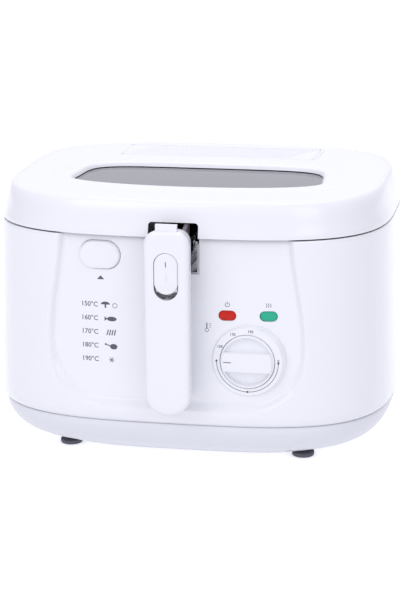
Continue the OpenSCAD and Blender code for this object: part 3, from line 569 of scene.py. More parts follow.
def wire_tree():
    """Round wire along the edges that it is given."""
    tree, given, result = new_tree(
        "WireAlongPath",
        [("Radius", "NodeSocketFloat"), ("Sides", "NodeSocketInt"), ("Finish", "NodeSocketMaterial")],
    )
    path = add_node(tree, "GeometryNodeMeshToCurve", {}, {"Mesh": given.outputs["Geometry"]})
    profile = add_node(
        tree, "GeometryNodeCurvePrimitiveCircle", {},
        {"Radius": given.outputs["Radius"], "Resolution": given.outputs["Sides"]},
    )
    tube = add_node(
        tree, "GeometryNodeCurveToMesh", {"Fill Caps": True},
        {"Curve": path.outputs["Curve"], "Profile Curve": profile.outputs["Curve"]},
    )
    real = add_node(tree, "GeometryNodeRealizeInstances", {}, {"Geometry": tube.outputs["Mesh"]})
    done = add_node(
        tree, "GeometryNodeSetMaterial", {},
        {"Geometry": real.outputs["Geometry"], "Material": given.outputs["Finish"]},
    )
    tree.links.new(done.outputs["Geometry"], result.inputs["Geometry"])
    return tree


def repeat_tree():
    """One master piece placed on every point, turned the same way."""
    tree, given, result = new_tree(
        "RepeatOnPoints",
        [("Master", "NodeSocketObject"), ("Turn", "NodeSocketVector"), ("Finish", "NodeSocketMaterial")],
    )
    master = add_node(tree, "GeometryNodeObjectInfo", {}, {"Object": given.outputs["Master"]})
    points = add_node(tree, "GeometryNodeMeshToPoints", {}, {"Mesh": given.outputs["Geometry"]})
    turned = add_node(
        tree, "GeometryNodeInstanceOnPoints", {},
        {
            "Points": points.outputs["Points"],
            "Instance": master.outputs["Geometry"],
            "Rotation": given.outputs["Turn"],
        },
    )
    real = add_node(tree, "GeometryNodeRealizeInstances", {}, {"Geometry": turned.outputs["Instances"]})
    done = add_node(
        tree, "GeometryNodeSetMaterial", {},
        {"Geometry": real.outputs["Geometry"], "Material": given.outputs["Finish"]},
    )
    tree.links.new(done.outputs["Geometry"], result.inputs["Geometry"])
    return tree


def through_tree(obj, tree, values):
    """Runs the object through a node tree and keeps the plain mesh."""
    step = obj.modifiers.new("nodes", "NODES")
    step.node_group = tree
    for item in tree.interface.items_tree:
        if item.in_out == "INPUT" and item.name in values:
            step[item.identifier] = values[item.name]
    return baked(obj)


def wires(name, paths, radius, sides, finish, closed=False):
    """Wires along the paths, given in millimetres."""
    points, edges = [], []
    for path in paths:
        start = len(points)
        points += path
        edges += [(start + i, start + i + 1) for i in range(len(path) - 1)]
        if closed:
            edges.append((len(points) - 1, start))
    tree = bpy.data.node_groups.get("WireAlongPath") or wire_tree()
    values = {"Radius": radius * MM, "Sides": sides, "Finish": bpy.data.materials[finish]}
    return through_tree(plain_object(name, points, edges, []), tree, values)


def repeated(name, master, places, turn, finish):
    """The master piece on each place, given in millimetres."""
    tree = bpy.data.node_groups.get("RepeatOnPoints") or repeat_tree()
    values = {"Master": master, "Turn": turn, "Finish": bpy.data.materials[finish]}
    made = through_tree(plain_object(name, places, [], []), tree, values)
    bpy.data.objects.remove(master)
    return made


def master_object(name, part):
    """A piece about the origin, for repeated()."""
    made = mesh_object(name, part)
    made.data.transform(Matrix.Translation((0, -MID_Y, 0)))
    return made


# ---- measures shared by several pieces, in millimetres ----

WINDOW_Y = -26.0
# How far the window's front bows, and by what share it narrows towards the back
WINDOW_BOW = 16
WINDOW_TAPER = 0.035
DIAL = (64.5, 98.5)
KNOB_RADIUS = 23.9
BOSS_FACE_Y = -144.5
LAMPS = (46.5, 82.2)
LAMP_Z = 138.5
BUTTON = (-66.3, 188.0)
QUARTERS = [(sx, sy) for sx in (-1, 1) for sy in (-1, 1)]
COLUMNS = [(sx * 98.0, sy * 120.0) for sx, sy in QUARTERS]
FEET = [(sx * 107.0, sy * 98.0) for sx, sy in QUARTERS]
DIMPLE = (98.0, -132.3, 18.2)
GLAND = (70.0, 62.0)
SLIDE_Z = 180.0
HANDLE_TOP = 219.0
HANDLE_LOW = 56.0
HANDLE_FACE = -176.0
HANDLE_REAR = -156.0
PIVOT = (-164.0, 207.0)
LID_TOP = 237.3
WINDOW_FRAME = 0.9
GRILLE_Y = 86.0
FILTER_Y = 84.25
FILTER_HALF = (91.4, 20.75)
# The stretch of the body's outline that holds the front panel, in degrees, and its finer step
PANEL_TURN = (208, 332, 0.42)
LID_POSTS = [(x, VESSEL_Y + y) for x in (-120, 120) for y in (-86, 84)]


class PieceOperator:
    """Shared settings of the operators that make pieces."""

    bl_options = {"REGISTER", "UNDO"}

    def execute(self, context):
        self.build()
        return {"FINISHED"}


class FRYER_OT_housing(PieceOperator, bpy.types.Operator):
    """Moulded housing with its sunk front panel, the dial's raised ring and its openings"""

    bl_idname = "fryer.housing"
    bl_label = "Housing"

    def build(self):
        sizes = bpy.context.scene.fryer_sizes
        angles = turn_angles(110, PANEL_TURN)
        wall = sizes.wall / MM
        # levels of the wall, close together at both rims and round the panel's lower edge
        heights = [38.7, 39.5, 41, 43, 45] + [46.5 + 1.6 * i for i in range(14)]
        heights += [70 + 5.6 * i for i in range(24)] + [201, 204, 205.1, 205.4]
        outer = [body_ring(angles, body_inset(z), z, True) for z in heights]
        inner = [body_ring(angles, body_inset(z) + wall, z, True) for z in reversed(heights)]
        shell = mesh_object("housing", loft(outer + inner, closed=True))
        # the ring round the dial: radius and depth, from its root to its face
        ring = (
            (33.6, -134), (33.2, -139.2), (32.2, -141), (31, -143.6), (30.4, -144.3), (29.6, BOSS_FACE_Y),
        )
        boss = loft([upright(circle(r, *DIAL), y) for r, y in ring])
        combine(shell, boss, "UNION")
        before, behind, pocket = -152, -123, -126
        cuts = [prism_y(circle(KNOB_RADIUS + 0.5, *DIAL), before, pocket)]
        cuts += [prism_y(pill(15.6, 9.2, x, LAMP_Z), before, behind) for x in LAMPS]
        cuts += [prism_y(pill(37.6, 26.0, *BUTTON), before, behind)]
        cuts += [box_part(-22, 22, before, behind, 174, 207)]
        cuts += [rod(7.5, (GLAND[0], 130, GLAND[1]), (GLAND[0], 155, GLAND[1]), 48)]
        combine(shell, joined(*cuts))
        # radius and height round a screw column's wall
        wall_line = ((4.5, 40), (4.5, 192.5), (1.6, 192.5), (1.6, 180), (1.6, 56), (1.6, 40))
        columns = [
            loft([flat(circle(r, x, y, 32), z) for r, z in wall_line], closed=True) for x, y in COLUMNS
        ]
        posts = mesh_object("housing_columns", joined(*columns))
        complete(shell, "polished white ABS", "housing", ["outer_housing"])
        complete(posts, "satin white ABS", "housing", [])


class FRYER_OT_base(PieceOperator, bpy.types.Operator):
    """Bowl-shaped base, its feet and its screw tunnels"""

    bl_idname = "fryer.base"
    bl_label = "Base and feet"

    def build(self):
        angles = turn_angles(220)
        # height and inset, from the joint with the housing down to the underside
        outer = [
            (38.55, 1.9), (37.9, 1.0), (36.5, 0.6), (33, 1.1), (30, 2.0), (26, 3.8), (22, 6.2), (18, 9.6),
            (14, 14), (11, 19), (9, 23.5), (7.4, 28.5), (6.2, 32), (5, 33.8), (3.9, 34.6), (3.5, 35.6),
            (3.5, 38), (4.6, 39.2), (4.9, 41),
        ]
        inner = [(38.55, 4.1), (30, 4.5), (22, 8.8), (14, 17), (9, 31), (7.6, 41)]
        rings = [body_ring(angles, inset, z) for z, inset in reversed(inner)]
        rings += [body_ring(angles, inset, z) for z, inset in outer]
        pan = mesh_object("base", loft(rings))
        tunnels, bores = [], []
        for x, y in COLUMNS:
            tunnels.append(rod(5.5, (x, y, 14), (x, y, 38.2)))
            bores.append(rod(4.1, (x, y, 0), (x, y, 30)))
            bores.append(rod(2.2, (x, y, 29), (x, y, 40)))
        combine(pan, joined(*tunnels), "UNION")
        # two shallow round dimples, square to the bowl's front
        depth = 0.9
        for side in (-1, 1):
            spot = Vector((side * DIMPLE[0], DIMPLE[1], DIMPLE[2]))
            out = Vector((side * 0.18, -0.74, -0.65))
            bores.append(rod(4.3, spot - out * depth, spot + out * 5))
        combine(pan, joined(*bores))
        complete(pan, "satin grey polypropylene", "housing", ["base_pan"])
        # radius and height of a foot, from the hollow under it to its top
        profile = [
            (0.1, 2.2), (4, 2.0), (6.4, 0.6), (7.4, 0), (9.0, 0), (9.7, 0.5), (10, 1.4), (10, 3.5),
            (0.1, 3.5),
        ]
        feet = [loft([flat(circle(r, x, y, 48), z) for r, z in profile]) for x, y in FEET]
        complete(mesh_object("feet", joined(*feet)), "grey nitrile rubber", "housing", ["rubber_feet"])


class FRYER_OT_lid(PieceOperator, bpy.types.Operator):
    """Moulded lid with its rim, crease and window frame"""

    bl_idname = "fryer.lid"
    bl_label = "Lid"

    def build(self):
        angles = turn_angles(300)
        # inset and height, from the lid's lower edge over the rim bead and the crease to its top
        skirt = [
            (3.2, 206.5), (2.5, 206.9), (2.5, 207.6), (2.7, 209.5), (3.4, 212), (4.2, 215), (5.4, 220),
            (6.4, 225), (7.4, 229), (8.4, 232), (9.4, 234.4), (10.4, 236), (11.4, 237.1), (12.4, 237.55),
            (13.4, 237.45),
            (14.2, 236.9), (14.8, 236.5), (15.6, 236.6), (17.5, 236.95), (20, 237.15), (24, LID_TOP),
        ]
        rings = [body_ring(angles, inset, z) for inset, z in skirt]
        # the top runs in to the window, and rises to the low frame round it
        edge, frame_edge = body_ring(angles, 24, LID_TOP), window_ring(angles, 9, LID_TOP)
        for share in (0.15, 0.3, 0.45, 0.58, 0.64, 0.7, 0.76, 0.82, 0.88, 0.94, 1.0):
            rise = WINDOW_FRAME * smooth((share - 0.62) / 0.3)
            rings.append(between(edge, frame_edge, share, LID_TOP + rise))
        # growth and height of the window's opening, down to the glass and back out under the lid
        for grow, z in (
            (5.5, 238.15), (3.6, 237.8), (2.4, 237.2), (1.5, 236.2), (0.9, 235), (0.4, 233.8), (8, 233.6),
            (11, 235.6),
        ):
            rings.append(window_ring(angles, grow, z))
        low, inner_window = body_ring(angles, 26, 235.3), window_ring(angles, 13, 235.6)
        rings += [between(low, inner_window, share, 235.4) for share in (0.7, 0.35)]
        # inset and height of the inside, back to the lower edge
        for inset, z in (
            (26, 235.3), (17.5, 234.6), (13.4, 233.2), (11.4, 230.4), (8.9, 225), (6.7, 215), (5.3, 209.5),
            (5.0, 207.2), (4.2, 206.5),
        ):
            rings.append(body_ring(angles, inset, z))
        shell = mesh_object("lid", loft(rings, closed=True))
        notch = [(x, z + 202) for x, z in round_rect(22, 17.7, 3.3)]
        opening = loft([flat(round_rect(96.3, 28.3, 6.3), z, GRILLE_Y) for z in (230.6, 240)])
        combine(shell, joined(prism_y(notch, -152, -126), opening))
        posts = [rod(4, (x, y, 230.6), (x, y, 236)) for x, y in LID_POSTS]
        posts += [box_part(s - 7.5, s + 7.5, 141.5, 146.2, 210.5, 221) for s in (-50, 50)]
        combine(shell, joined(*posts), "UNION")
        complete(shell, "polished white ABS", "lid", ["lid_outer"])


class FRYER_OT_lid_inside(PieceOperator, bpy.types.Operator):
    """Pressed liner and moulded gasket inside the lid"""

    bl_idname = "fryer.lid_inside"
    bl_label = "Liner and gasket"

    def build(self):
        def ring(half_w, half_d, radius, z):
            return flat(round_rect(half_w, half_d, radius, 14), z, VESSEL_Y)

        # half width, half depth, corner radius and height: up the outside, over and down the inside
        shape = [(136, 102, 34, 202), (136, 102, 34, 225.5)]
        for a in (0.3, 0.6, 0.9, 1.2, math.pi / 2):
            drawn = 1 - math.cos(a)
            shape.append((136 - 5 * drawn, 102 - 5 * drawn, 34 - 4 * drawn, 225.5 + 5 * math.sin(a)))
        shape += [(100, 80, 24, 230.5), (40, 30, 10, 230.5), (1, 1, 0.9, 230.5)]
        shape += [(1, 1, 0.9, 229.5), (40, 30, 10, 229.5), (100, 80, 24, 229.5)]
        shape += [(130.5, 96.5, 29.5, 229.5), (132, 98, 31, 229.5)]
        shape += [(134.8, 100.8, 32.8, 226.6), (134.8, 100.8, 32.8, 202)]
        tray = mesh_object("lid_liner", loft([ring(*values) for values in shape], closed=True))
        angles = turn_angles(120)
        cuts = [loft([window_ring(angles, -2, 226), window_ring(angles, -2, 234)])]
        filter_hole = round_rect(FILTER_HALF[0] + 0.4, FILTER_HALF[1] + 0.4, 5.4)
        cuts += [loft([flat(filter_hole, z, FILTER_Y) for z in (226, 234)])]
        cuts += [box_part(-21, 21, -104, -90, 198, 229.3)]
        cuts += [rod(1.8, (x, y, 228), (x, y, 233)) for x, y in LID_POSTS]
        for cut in cuts:
            combine(tray, cut)
        complete(tray, "pressed aluminium", "lid", ["lid_liner"])
        rings = []
        for a in turn_angles(14):
            out, up = 135.5 + 2 * math.cos(a), 199.6 + 2.3 * math.sin(a)
            rings.append(ring(out, out - 34, out - 102.6, up))
        seal = mesh_object("lid_gasket", loft(rings, closed=True))
        combine(seal, box_part(-21, 21, -112, -90, 190, 210))
        complete(seal, "grey silicone", "lid", ["lid_gasket"])


class FRYER_OT_grille(PieceOperator, bpy.types.Operator):
    """Steam grille: a frame with a row of slanted bars"""

    bl_idname = "fryer.grille"
    bl_label = "Steam grille"

    def build(self):
        bars = bpy.context.scene.fryer_sizes.grille_bars
        outer, inner = round_rect(96.2, 28.2, 6.2), round_rect(93, 24, 3)
        eased = [(x * 0.998, y * 0.994) for x, y in outer]
        low, high = 236.1, 237.6
        section = ((outer, low), (outer, high - 0.2), (eased, high), (inner, high), (inner, low))
        rim = loft([flat(outline, z, GRILLE_Y) for outline, z in section], closed=True)
        surround = mesh_object("grille_frame", rim)
        complete(surround, "polished white ABS", "lid", ["steam_grille"])
        lean, half = 13.0, 24.3
        section = [(-1.45, 0), (-1.45, 1.1), (-1.0, 1.5), (1.0, 1.5), (1.45, 1.1), (1.45, 0)]
        bar = loft([[(x + s * lean, s * half, z) for x, z in section] for s in (-1, 1)])
        master = master_object("grille_bar", bar)
        pitch = (2 * 93 - 2 * lean - 3.2) / (bars - 1)
        places = [((i - (bars - 1) / 2) * pitch, GRILLE_Y, low) for i in range(bars)]
        row = repeated("grille_bars", master, places, (0, 0, 0), "polished white ABS")
        complete(row, "polished white ABS", "lid", [])
        corners = []
        for s in (-1, 1):
            edge = places[-1][0] + 1.2 if s > 0 else places[0][0] - 1.2
            outline = [(edge - lean, -half), (edge + lean, half), (s * 93.2, half), (s * 93.2, -half)]
            corners.append(loft([flat(outline, z, GRILLE_Y) for z in (low, high)]))
        fill = mesh_object("grille_ends", joined(*corners))
        complete(fill, "polished white ABS", "lid", [])


class FRYER_OT_lamps(PieceOperator, bpy.types.Operator):
    """Domed lamp lenses"""

    bl_idname = "fryer.lamps"
    bl_label = "Lamps"

    def build(self):
        lenses = (("power_lens", "red acrylic"), ("heating_lens", "green acrylic"))
        for x, (node, finish) in zip(LAMPS, lenses):
            face = front_y(x, LAMP_Z) - 1.0

            def outline(inset, x=x):
                return pill(14.8, 8.4, x, LAMP_Z, inset)

            dome = rounded_plate(outline, face + 7, face, 1.6, lambda _z, share: 0.35 * share)
            complete(mesh_object(node + "_dome", dome), finish, "housing", [node], angle=60)


class FRYER_OT_button(PieceOperator, bpy.types.Operator):
    """Lid button: cushioned cap, flange, stem and catch"""

    bl_idname = "fryer.button"
    bl_label = "Lid button"

    def build(self):
        x, z = BUTTON
        face = front_y(x, z) - 3.0

        def outline(inset):
            return pill(36.8, 25.2, x, z, inset)

        def cushion(_z, share):
            return 0.5 * math.sin(share * math.pi / 2)

        cap = rounded_plate(outline, -130.9, face, 2.6, cushion)
        rear = [
            prism_y(pill(40.8, 28.2, x, z - 1), -132.2, -130.7),
            box_part(x - 6, x + 6, -131.2, -112, z - 4, z + 3),
            box_part(x - 5, x + 5, -122.9, -119.8, z + 1, 201.5),
            rod(2.5, (x, -113, z - 0.5), (x, -106, z - 0.5)),
        ]
        made = mesh_object("lid_button_cap", cap)
        complete(made, "polished white ABS", "button", ["lid_button"], angle=50)
        stem = mesh_object("lid_button_stem", joined(*rear))
        complete(stem, "satin white ABS", "button", [])


class FRYER_OT_dial(PieceOperator, bpy.types.Operator):
    """Thermostat knob: a grip left standing between two scoops"""

    bl_idname = "fryer.dial"
    bl_label = "Dial"

    def build(self):
        x, z = DIAL
        face, rear = -146.0, -132.9
        profile = [
            (23.6, rear), (23.9, rear - 0.4), (23.9, face + 1.4), (23.7, face + 0.7), (23.2, face + 0.2),
            (22.5, face),
        ]
        knob = mesh_object("knob", loft([upright(circle(r, x, z, 128), y) for r, y in profile]))
        grip = 8.4
        rim = [p for p in circle(21.9, x, z, 128) if abs(p[1] - z) <= grip]
        right = sorted([p for p in rim if p[0] > x], key=lambda p: p[1])
        left = sorted([p for p in rim if p[0] < x], key=lambda p: -p[1])
        bar = right + left
        combine(knob, prism_y(bar, face - 3.0, face + 7), "UNION")
        scoops = []
        for s in (-1, 1):
            arc = [p for p in circle(22.0, x, z, 128) if s * (p[1] - z) >= grip]
            arc.sort(key=lambda p: p[0])
            top = upright(arc, face - 4)
            # the floor falls from the grip towards the rim
            floor = [(a, face + 3.2 + 3.0 * smooth((s * (b - z) - grip) / 14), b) for a, b in arc]
            scoops.append(loft([top, floor]))
        combine(knob, joined(*scoops))
        round_edges(knob, 0.55, 40)
        complete(knob, "polished white ABS", "dial", ["control_knob"], angle=40)
        line = box_part(x - 20.5, x - 13.5, face - 3.06, face - 2.9, z - 0.35, z + 0.35)
        complete(mesh_object("knob_mark", line), "grey printing ink", "dial", [])


def handle_outline(inset):
    """The handle from the front: a wide rounded top and a half-round lower end."""
    half, low, corner = 19.5 - inset, HANDLE_LOW + inset, max(0.4, 12 - inset)
    end = 16.0 - inset
    turns = [math.pi * (1 + i / 24) for i in range(25)]
    made = [(half * math.cos(a), low + end + end * math.sin(a)) for a in turns]
    for side in (0, 1):
        middle = (half - corner) * (1 - 2 * side)
        for i in range(9):
            a = math.pi / 2 * (side + i / 8)
            made.append((middle + corner * math.cos(a), HANDLE_TOP - inset - corner + corner * math.sin(a)))
    return made


def straightened(outline, step):
    """The outline with points added along its long sides."""
    made = []
    for a, b in zip(outline, outline[1:] + outline[:1]):
        count = max(1, int(math.dist(a, b) / step))
        made += [(a[0] + (b[0] - a[0]) * i / count, a[1] + (b[1] - a[1]) * i / count) for i in range(count)]
    return made


class FRYER_OT_handle(PieceOperator, bpy.types.Operator):
    """Folding handle: hollow front with a rounded face, cams and the slide's slot"""

    bl_idname = "fryer.handle"
    bl_label = "Handle"

    def build(self):
        # the sides draw in a little towards the rear, as a mould needs
        drafts = ((1.8, 0), (1.5, -0.6), (1.25, -3), (0.9, -7), (0.45, -11), (0.1, -14.5))
        rings = [upright(handle_outline(inset), HANDLE_REAR + back) for inset, back in drafts]
        edge = 4.2
        for i in range(8):
            a = math.radians(90 * i / 7)
            inset, back = edge * (1 - math.cos(a)), edge * (1 - math.sin(a))
            rings.append(upright(handle_outline(inset), HANDLE_FACE + back))
        middle = 137
        face = [(x * 0.45, middle + (z - middle) * 0.9) for x, z in handle_outline(edge)]
        front = mesh_object("handle", loft(rings + [upright(face, HANDLE_FACE)]))
        combine(front, prism_y(handle_outline(2.0), HANDLE_FACE + 2.5, HANDLE_REAR + 1))
        cuts = [prism_y(pill(21.4, 41.5, 0, SLIDE_Z), HANDLE_FACE - 1, HANDLE_FACE + 4)]
        cuts += [box_part(-9.7, 9.7, HANDLE_FACE + 3.1, HANDLE_FACE + 7.3, HANDLE_TOP - 4, HANDLE_TOP + 1)]
        cuts += [rod(2.55, (-18.6, *PIVOT), (18.6, *PIVOT))]
        combine(front, joined(*cuts))
        complete(front, "polished white ABS", "handle", ["handle_front"], angle=36)
        # the cam lifts the pivot evenly, by the basket's 22 mm over the handle's quarter turn
        rise, low = 22 / (math.pi / 2), 8.0
        curve = []
        for i in range(19):
            a = math.radians(5 * i)
            h = low + rise * a
            back, up = h * math.sin(a) + rise * math.cos(a), -h * math.cos(a) + rise * math.sin(a)
            curve.append((back + PIVOT[0], up + PIVOT[1]))
        side = [(HANDLE_FACE + 2.6, PIVOT[1] - low), (PIVOT[0], PIVOT[1] - low)] + curve
        side += [(PIVOT[0], PIVOT[1] + 5), (HANDLE_FACE + 2.6, PIVOT[1] + 5)]
        cams = [loft([[(s * x, y, z) for y, z in side] for x in (9.8, 13.0)]) for s in (-1, 1)]
        cam_pair = mesh_object("handle_cams", joined(*cams))
        combine(cam_pair, rod(2.55, (-14, *PIVOT), (14, *PIVOT)))
        # the cams' grey is partly painted light, standing in for light inside the shaded slot
        complete(cam_pair, "grey phenolic", "handle", [])

        def slide_outline(inset):
            return straightened(pill(20.6, 36.2, 0, SLIDE_Z + 2.25, inset, 14), 1.6)

        def thumb_rest(z, share):
            ridge = 0.9 * math.exp(-(((z - (SLIDE_Z - 7)) / 3.2) ** 2))
            dish = -0.5 * math.exp(-(((z - (SLIDE_Z + 6)) / 9.0) ** 2))
            return smooth(share * 4) * (ridge + dish)

        pad = rounded_plate(slide_outline, HANDLE_FACE + 3.2, HANDLE_FACE - 0.5, 1.6, thumb_rest)
        complete(mesh_object("slide_pad", pad), "polished white ABS", "slide", ["thumb_slide"], angle=50)
        tick_y = HANDLE_FACE - 0.36
        tick = box_part(-0.3, 0.3, tick_y, tick_y + 0.6, 188.5, 193)
        complete(mesh_object("slide_tick", tick), "grey printing ink", "slide", [])


class FRYER_OT_vessel(PieceOperator, bpy.types.Operator):
    """Deep-drawn oil vessel with rounded corners and a rolled flange"""

    bl_idname = "fryer.vessel"
    bl_label = "Oil vessel"

    def build(self):
        def ring(grow, z):
            radius = max(2.0, 30 + grow)
            return flat(round_rect(132 + grow, 98 + grow, radius, 14), z, VESSEL_Y)

        # growth of the outline and height: the floor, its bend, the wall and the rolled flange
        bend, count = 12.0, 8
        inside = [(-60.0, 62.0), (-bend - 8, 62.0)]
        for i in range(count + 1):
            a = math.radians(90 * i / count)
            inside.append((-bend + bend * math.sin(a), 62 + bend * (1 - math.cos(a))))
        inside += [
            (0, 90), (0, 130), (0, 170), (0, 193), (0.4, 195.5), (1.4, 196.7), (2.6, 197), (7.4, 197),
            (8, 196.4), (8, 195.4), (7.4, 195), (2.6, 195), (1.7, 194.2), (1.5, 192),
        ]
        outside = [(1.5, 130), (1.5, 90)]
        for i in range(count, -1, -1):
            a = math.radians(90 * i / count)
            outside.append((-bend + (bend + 1.5) * math.sin(a), 62 + bend - (bend + 1.5) * math.cos(a)))
        outside += [(-bend - 8, 60.5), (-60.0, 60.5)]
        pot = mesh_object("vessel", loft([ring(grow, z) for grow, z in inside + outside]))
        complete(pot, "speckled non-stick", "housing", ["oil_vessel"], angle=50)


def basket_section(half_w, half_d, radius, along):
    """Half depth of the basket's outline at the distance along from its middle."""
    past = along - (half_w - radius)
    if past <= 0:
        return half_d
    return half_d - radius + math.sqrt(max(0.0, radius * radius - past * past))


class FRYER_OT_basket(PieceOperator, bpy.types.Operator):
    """Woven wire basket"""

    bl_idname = "fryer.basket"
    bl_label = "Basket"

    def build(self):
        sizes = bpy.context.scene.fryer_sizes
        pitch, radius = sizes.mesh_pitch / MM, sizes.mesh_wire / MM
        # outline of the basket and the heights of its floor and of its rim's wire
        half_w, half_d, corner, low, high = 117.2, 83.2, 25.2, 68.8, 163.6
        bend, step = 8.0, 3.5

        def trough(reach, phase):
            """Down one wall, across the floor and up the other, weaving in and out."""
            path = []
            steps = int((high - low) / step)
            for i in range(steps):
                path.append((-reach, high - (high - low - bend) * i / steps))
            for i in range(1, 6):
                a = math.pi / 2 * i / 6
                path.append((-reach + bend * (1 - math.cos(a)), low + bend * (1 - math.sin(a))))
            count = max(2, int((2 * reach - 2 * bend) / step))
            for i in range(count + 1):
                path.append((-reach + bend + (2 * reach - 2 * bend) * i / count, low))
            path += [(-u, z) for u, z in reversed(path[: steps + 5])]
            weave = []
            for i, (u, z) in enumerate(path):
                lift = radius * 0.8 * (1 if (i + phase) % 2 else -1)
                aside = math.copysign(lift, u) if z > low + bend else 0
                weave.append((u + aside, z + (lift if z <= low + 0.5 else 0)))
            return weave

        paths, end = [], 4
        count = int(2 * (half_w - end) / pitch)
        for i in range(count + 1):
            x = -half_w + end + 2 * (half_w - end) * i / count
            reach = basket_section(half_w, half_d, corner, abs(x))
            paths.append([(x, u + VESSEL_Y, z) for u, z in trough(reach, i)])
        count = int(2 * (half_d - end) / pitch)
        for i in range(count + 1):
            y = -half_d + end + 2 * (half_d - end) * i / count
            reach = basket_section(half_d, half_w, corner, abs(y))
            paths.append([(u, y + VESSEL_Y, z) for u, z in trough(reach, i + 1)])
        weave = wires("basket_mesh_wires", paths, radius, 5, "bright nickel plate")
        complete(weave, "bright nickel plate", "basket", ["basket_mesh"], angle=70)
        hoops, z = [], high - 1
        while z > low + bend:
            hoops.append(flat(straightened(round_rect(half_w, half_d, corner, 8), 8), z, VESSEL_Y))
            z -= pitch
        rings = wires("basket_hoops", hoops, radius, 5, "bright nickel plate", closed=True)
        complete(rings, "bright nickel plate", "basket", [], angle=70)


def coil(start, axis, radius, length_mm, turns):
    """A compression spring's path, with closed ends."""
    first, turn = Vector(start), Vector(axis).to_track_quat("Z", "Y")
    path, steps = [], 18
    count = turns * steps
    for i in range(count + 1):
        a = FULL_TURN * i / steps
        share = smooth(i / count) * 0.25 + i / count * 0.75
        point = Vector((radius * math.cos(a), radius * math.sin(a), share * length_mm))
        path.append(tuple(first + turn @ point))
    return path


class FRYER_OT_springs(PieceOperator, bpy.types.Operator):
    """Coil springs of the lid button and the handle's slide"""

    bl_idname = "fryer.springs"
    bl_label = "Springs"

    def build(self):
        low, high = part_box("button_spring")
        x, z = (low.x + high.x) / 2 / MM, (low.z + high.z) / 2 / MM
        start = ((low.y - MID_Y) / MM) + 0.5
        path = coil((x, start, z), (0, 1, 0), 3.3, (high.y - low.y) / MM - 1, 5)
        spring = wires("button_coil", [path], 0.45, 8, "ground steel")
        complete(spring, "ground steel", "housing", ["button_spring"], angle=70)
        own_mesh(spring)
        low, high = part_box("slide_spring")
        x, y = (low.x + high.x) / 2 / MM, ((low.y + high.y) / 2 - MID_Y) / MM
        path = coil((x, y, low.z / MM + 0.3), (0, 0, 1), 1.3, (high.z - low.z) / MM - 0.6, 9)
        spring = wires("slide_coil", [path], 0.28, 8, "ground steel")
        complete(spring, "ground steel", "handle", ["slide_spring"], angle=70)
        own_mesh(spring)


def screw_head(radius, height, shank_radius, shank):
    """A pan-head screw, its head's top at the origin and its shank towards +Z."""
    profile = [
        (0.05, 0.0), (radius * 0.55, 0.05 * height), (radius * 0.85, 0.3 * height), (radius, 0.7 * height),
        (radius, height), (shank_radius, height), (shank_radius, height + shank * 0.9), (0.3, height + shank),
    ]
    master = master_object("screw", loft([flat(circle(r, 0, 0, 24), z) for r, z in profile]))
    arm, half = radius * 0.62, radius * 0.11
    for x, y in ((arm, half), (half, arm)):
        groove = box_part(-x, x, -y, y, -1, height * 0.55)
        boolean(master, master_object("groove", groove), "DIFFERENCE", False)
    return master


class FRYER_OT_screws(PieceOperator, bpy.types.Operator):
    """Every set of screws, with cross recesses"""

    bl_idname = "fryer.screws"
    bl_label = "Screws"

    def build(self):
        up, down, forward = (0, 0, 0), (math.pi, 0, 0), (math.pi / 2, 0, 0)
        # node, body, head (radius, height, shank radius, shank), places and turn
        sets = [
            ("base_screws", "housing", (3.6, 2.5, 1.55, 20), [(x, y, 28) for x, y in COLUMNS], up),
            ("deck_screws", "housing", (3.0, 2.0, 1.55, 12), [(x, y, 197) for x, y in COLUMNS], down),
            ("hinge_screws", "housing", (3.6, 2.0, 1.9, 2.5),
             [(x, 151.7, 185) for x in (-58, -42, 42, 58)], forward),
            ("leaf_screws", "lid", (3.0, 1.6, 1.55, 3.8),
             [(x, 149.8, 216.6) for x in (-54, -46, 46, 54)], forward),
            ("lid_screws", "lid", (3.2, 2.0, 1.55, 4.3), [(x, y, 227.5) for x, y in LID_POSTS], up),
            ("handle_screws", "handle", (2.8, 2.0, 1.25, 9), [(0, -160, 70), (0, -160, 155)], forward),
        ]
        for node, body, head, places, turn in sets:
            made = repeated(node + "_set", screw_head(*head), places, turn, "zinc-plated sheet")
            complete(made, "zinc-plated sheet", body, [node], angle=40)


# ---- printed marks ----

# Half the ink's thickness, and how much the numbers' strokes are fattened
INK = 0.05
STROKE_WEIGHT = 0.07
# Height of a number over the font's own size
FONT_SIZE = 1.37


def stroke(a, b, width):
    """A bar from a to b, in the plane of the print."""
    start, end = Vector(a), Vector(b)
    side = (end - start).normalized().orthogonal() * width / 2
    return [tuple(start + side), tuple(end + side), tuple(end - side), tuple(start - side)]


def hoop(x, z, radius, width, start=0.0, end=360.0, steps=40):
    """Short bars along an arc, given in degrees anticlockwise from the right."""
    made = []
    for i in range(steps):
        a, b = (math.radians(start + (end - start) * k / steps) for k in (i, i + 1))
        inner, outer = radius - width / 2, radius + width / 2
        corners = ((inner, a), (outer, a), (outer, b), (inner, b))
        made.append([(x + r * math.cos(t), z + r * math.sin(t)) for r, t in corners])
    return made


def printed(name, outlines, surface):
    """Ink shapes laid on a surface of the housing, whose depth is surface(x, z)."""
    parts = []
    for shape in outlines:
        parts.append(loft([[(x, surface(x, z) + lift, z) for x, z in shape] for lift in (-INK, INK)]))
    complete(mesh_object(name, joined(*parts)), "grey printing ink", "housing", [])


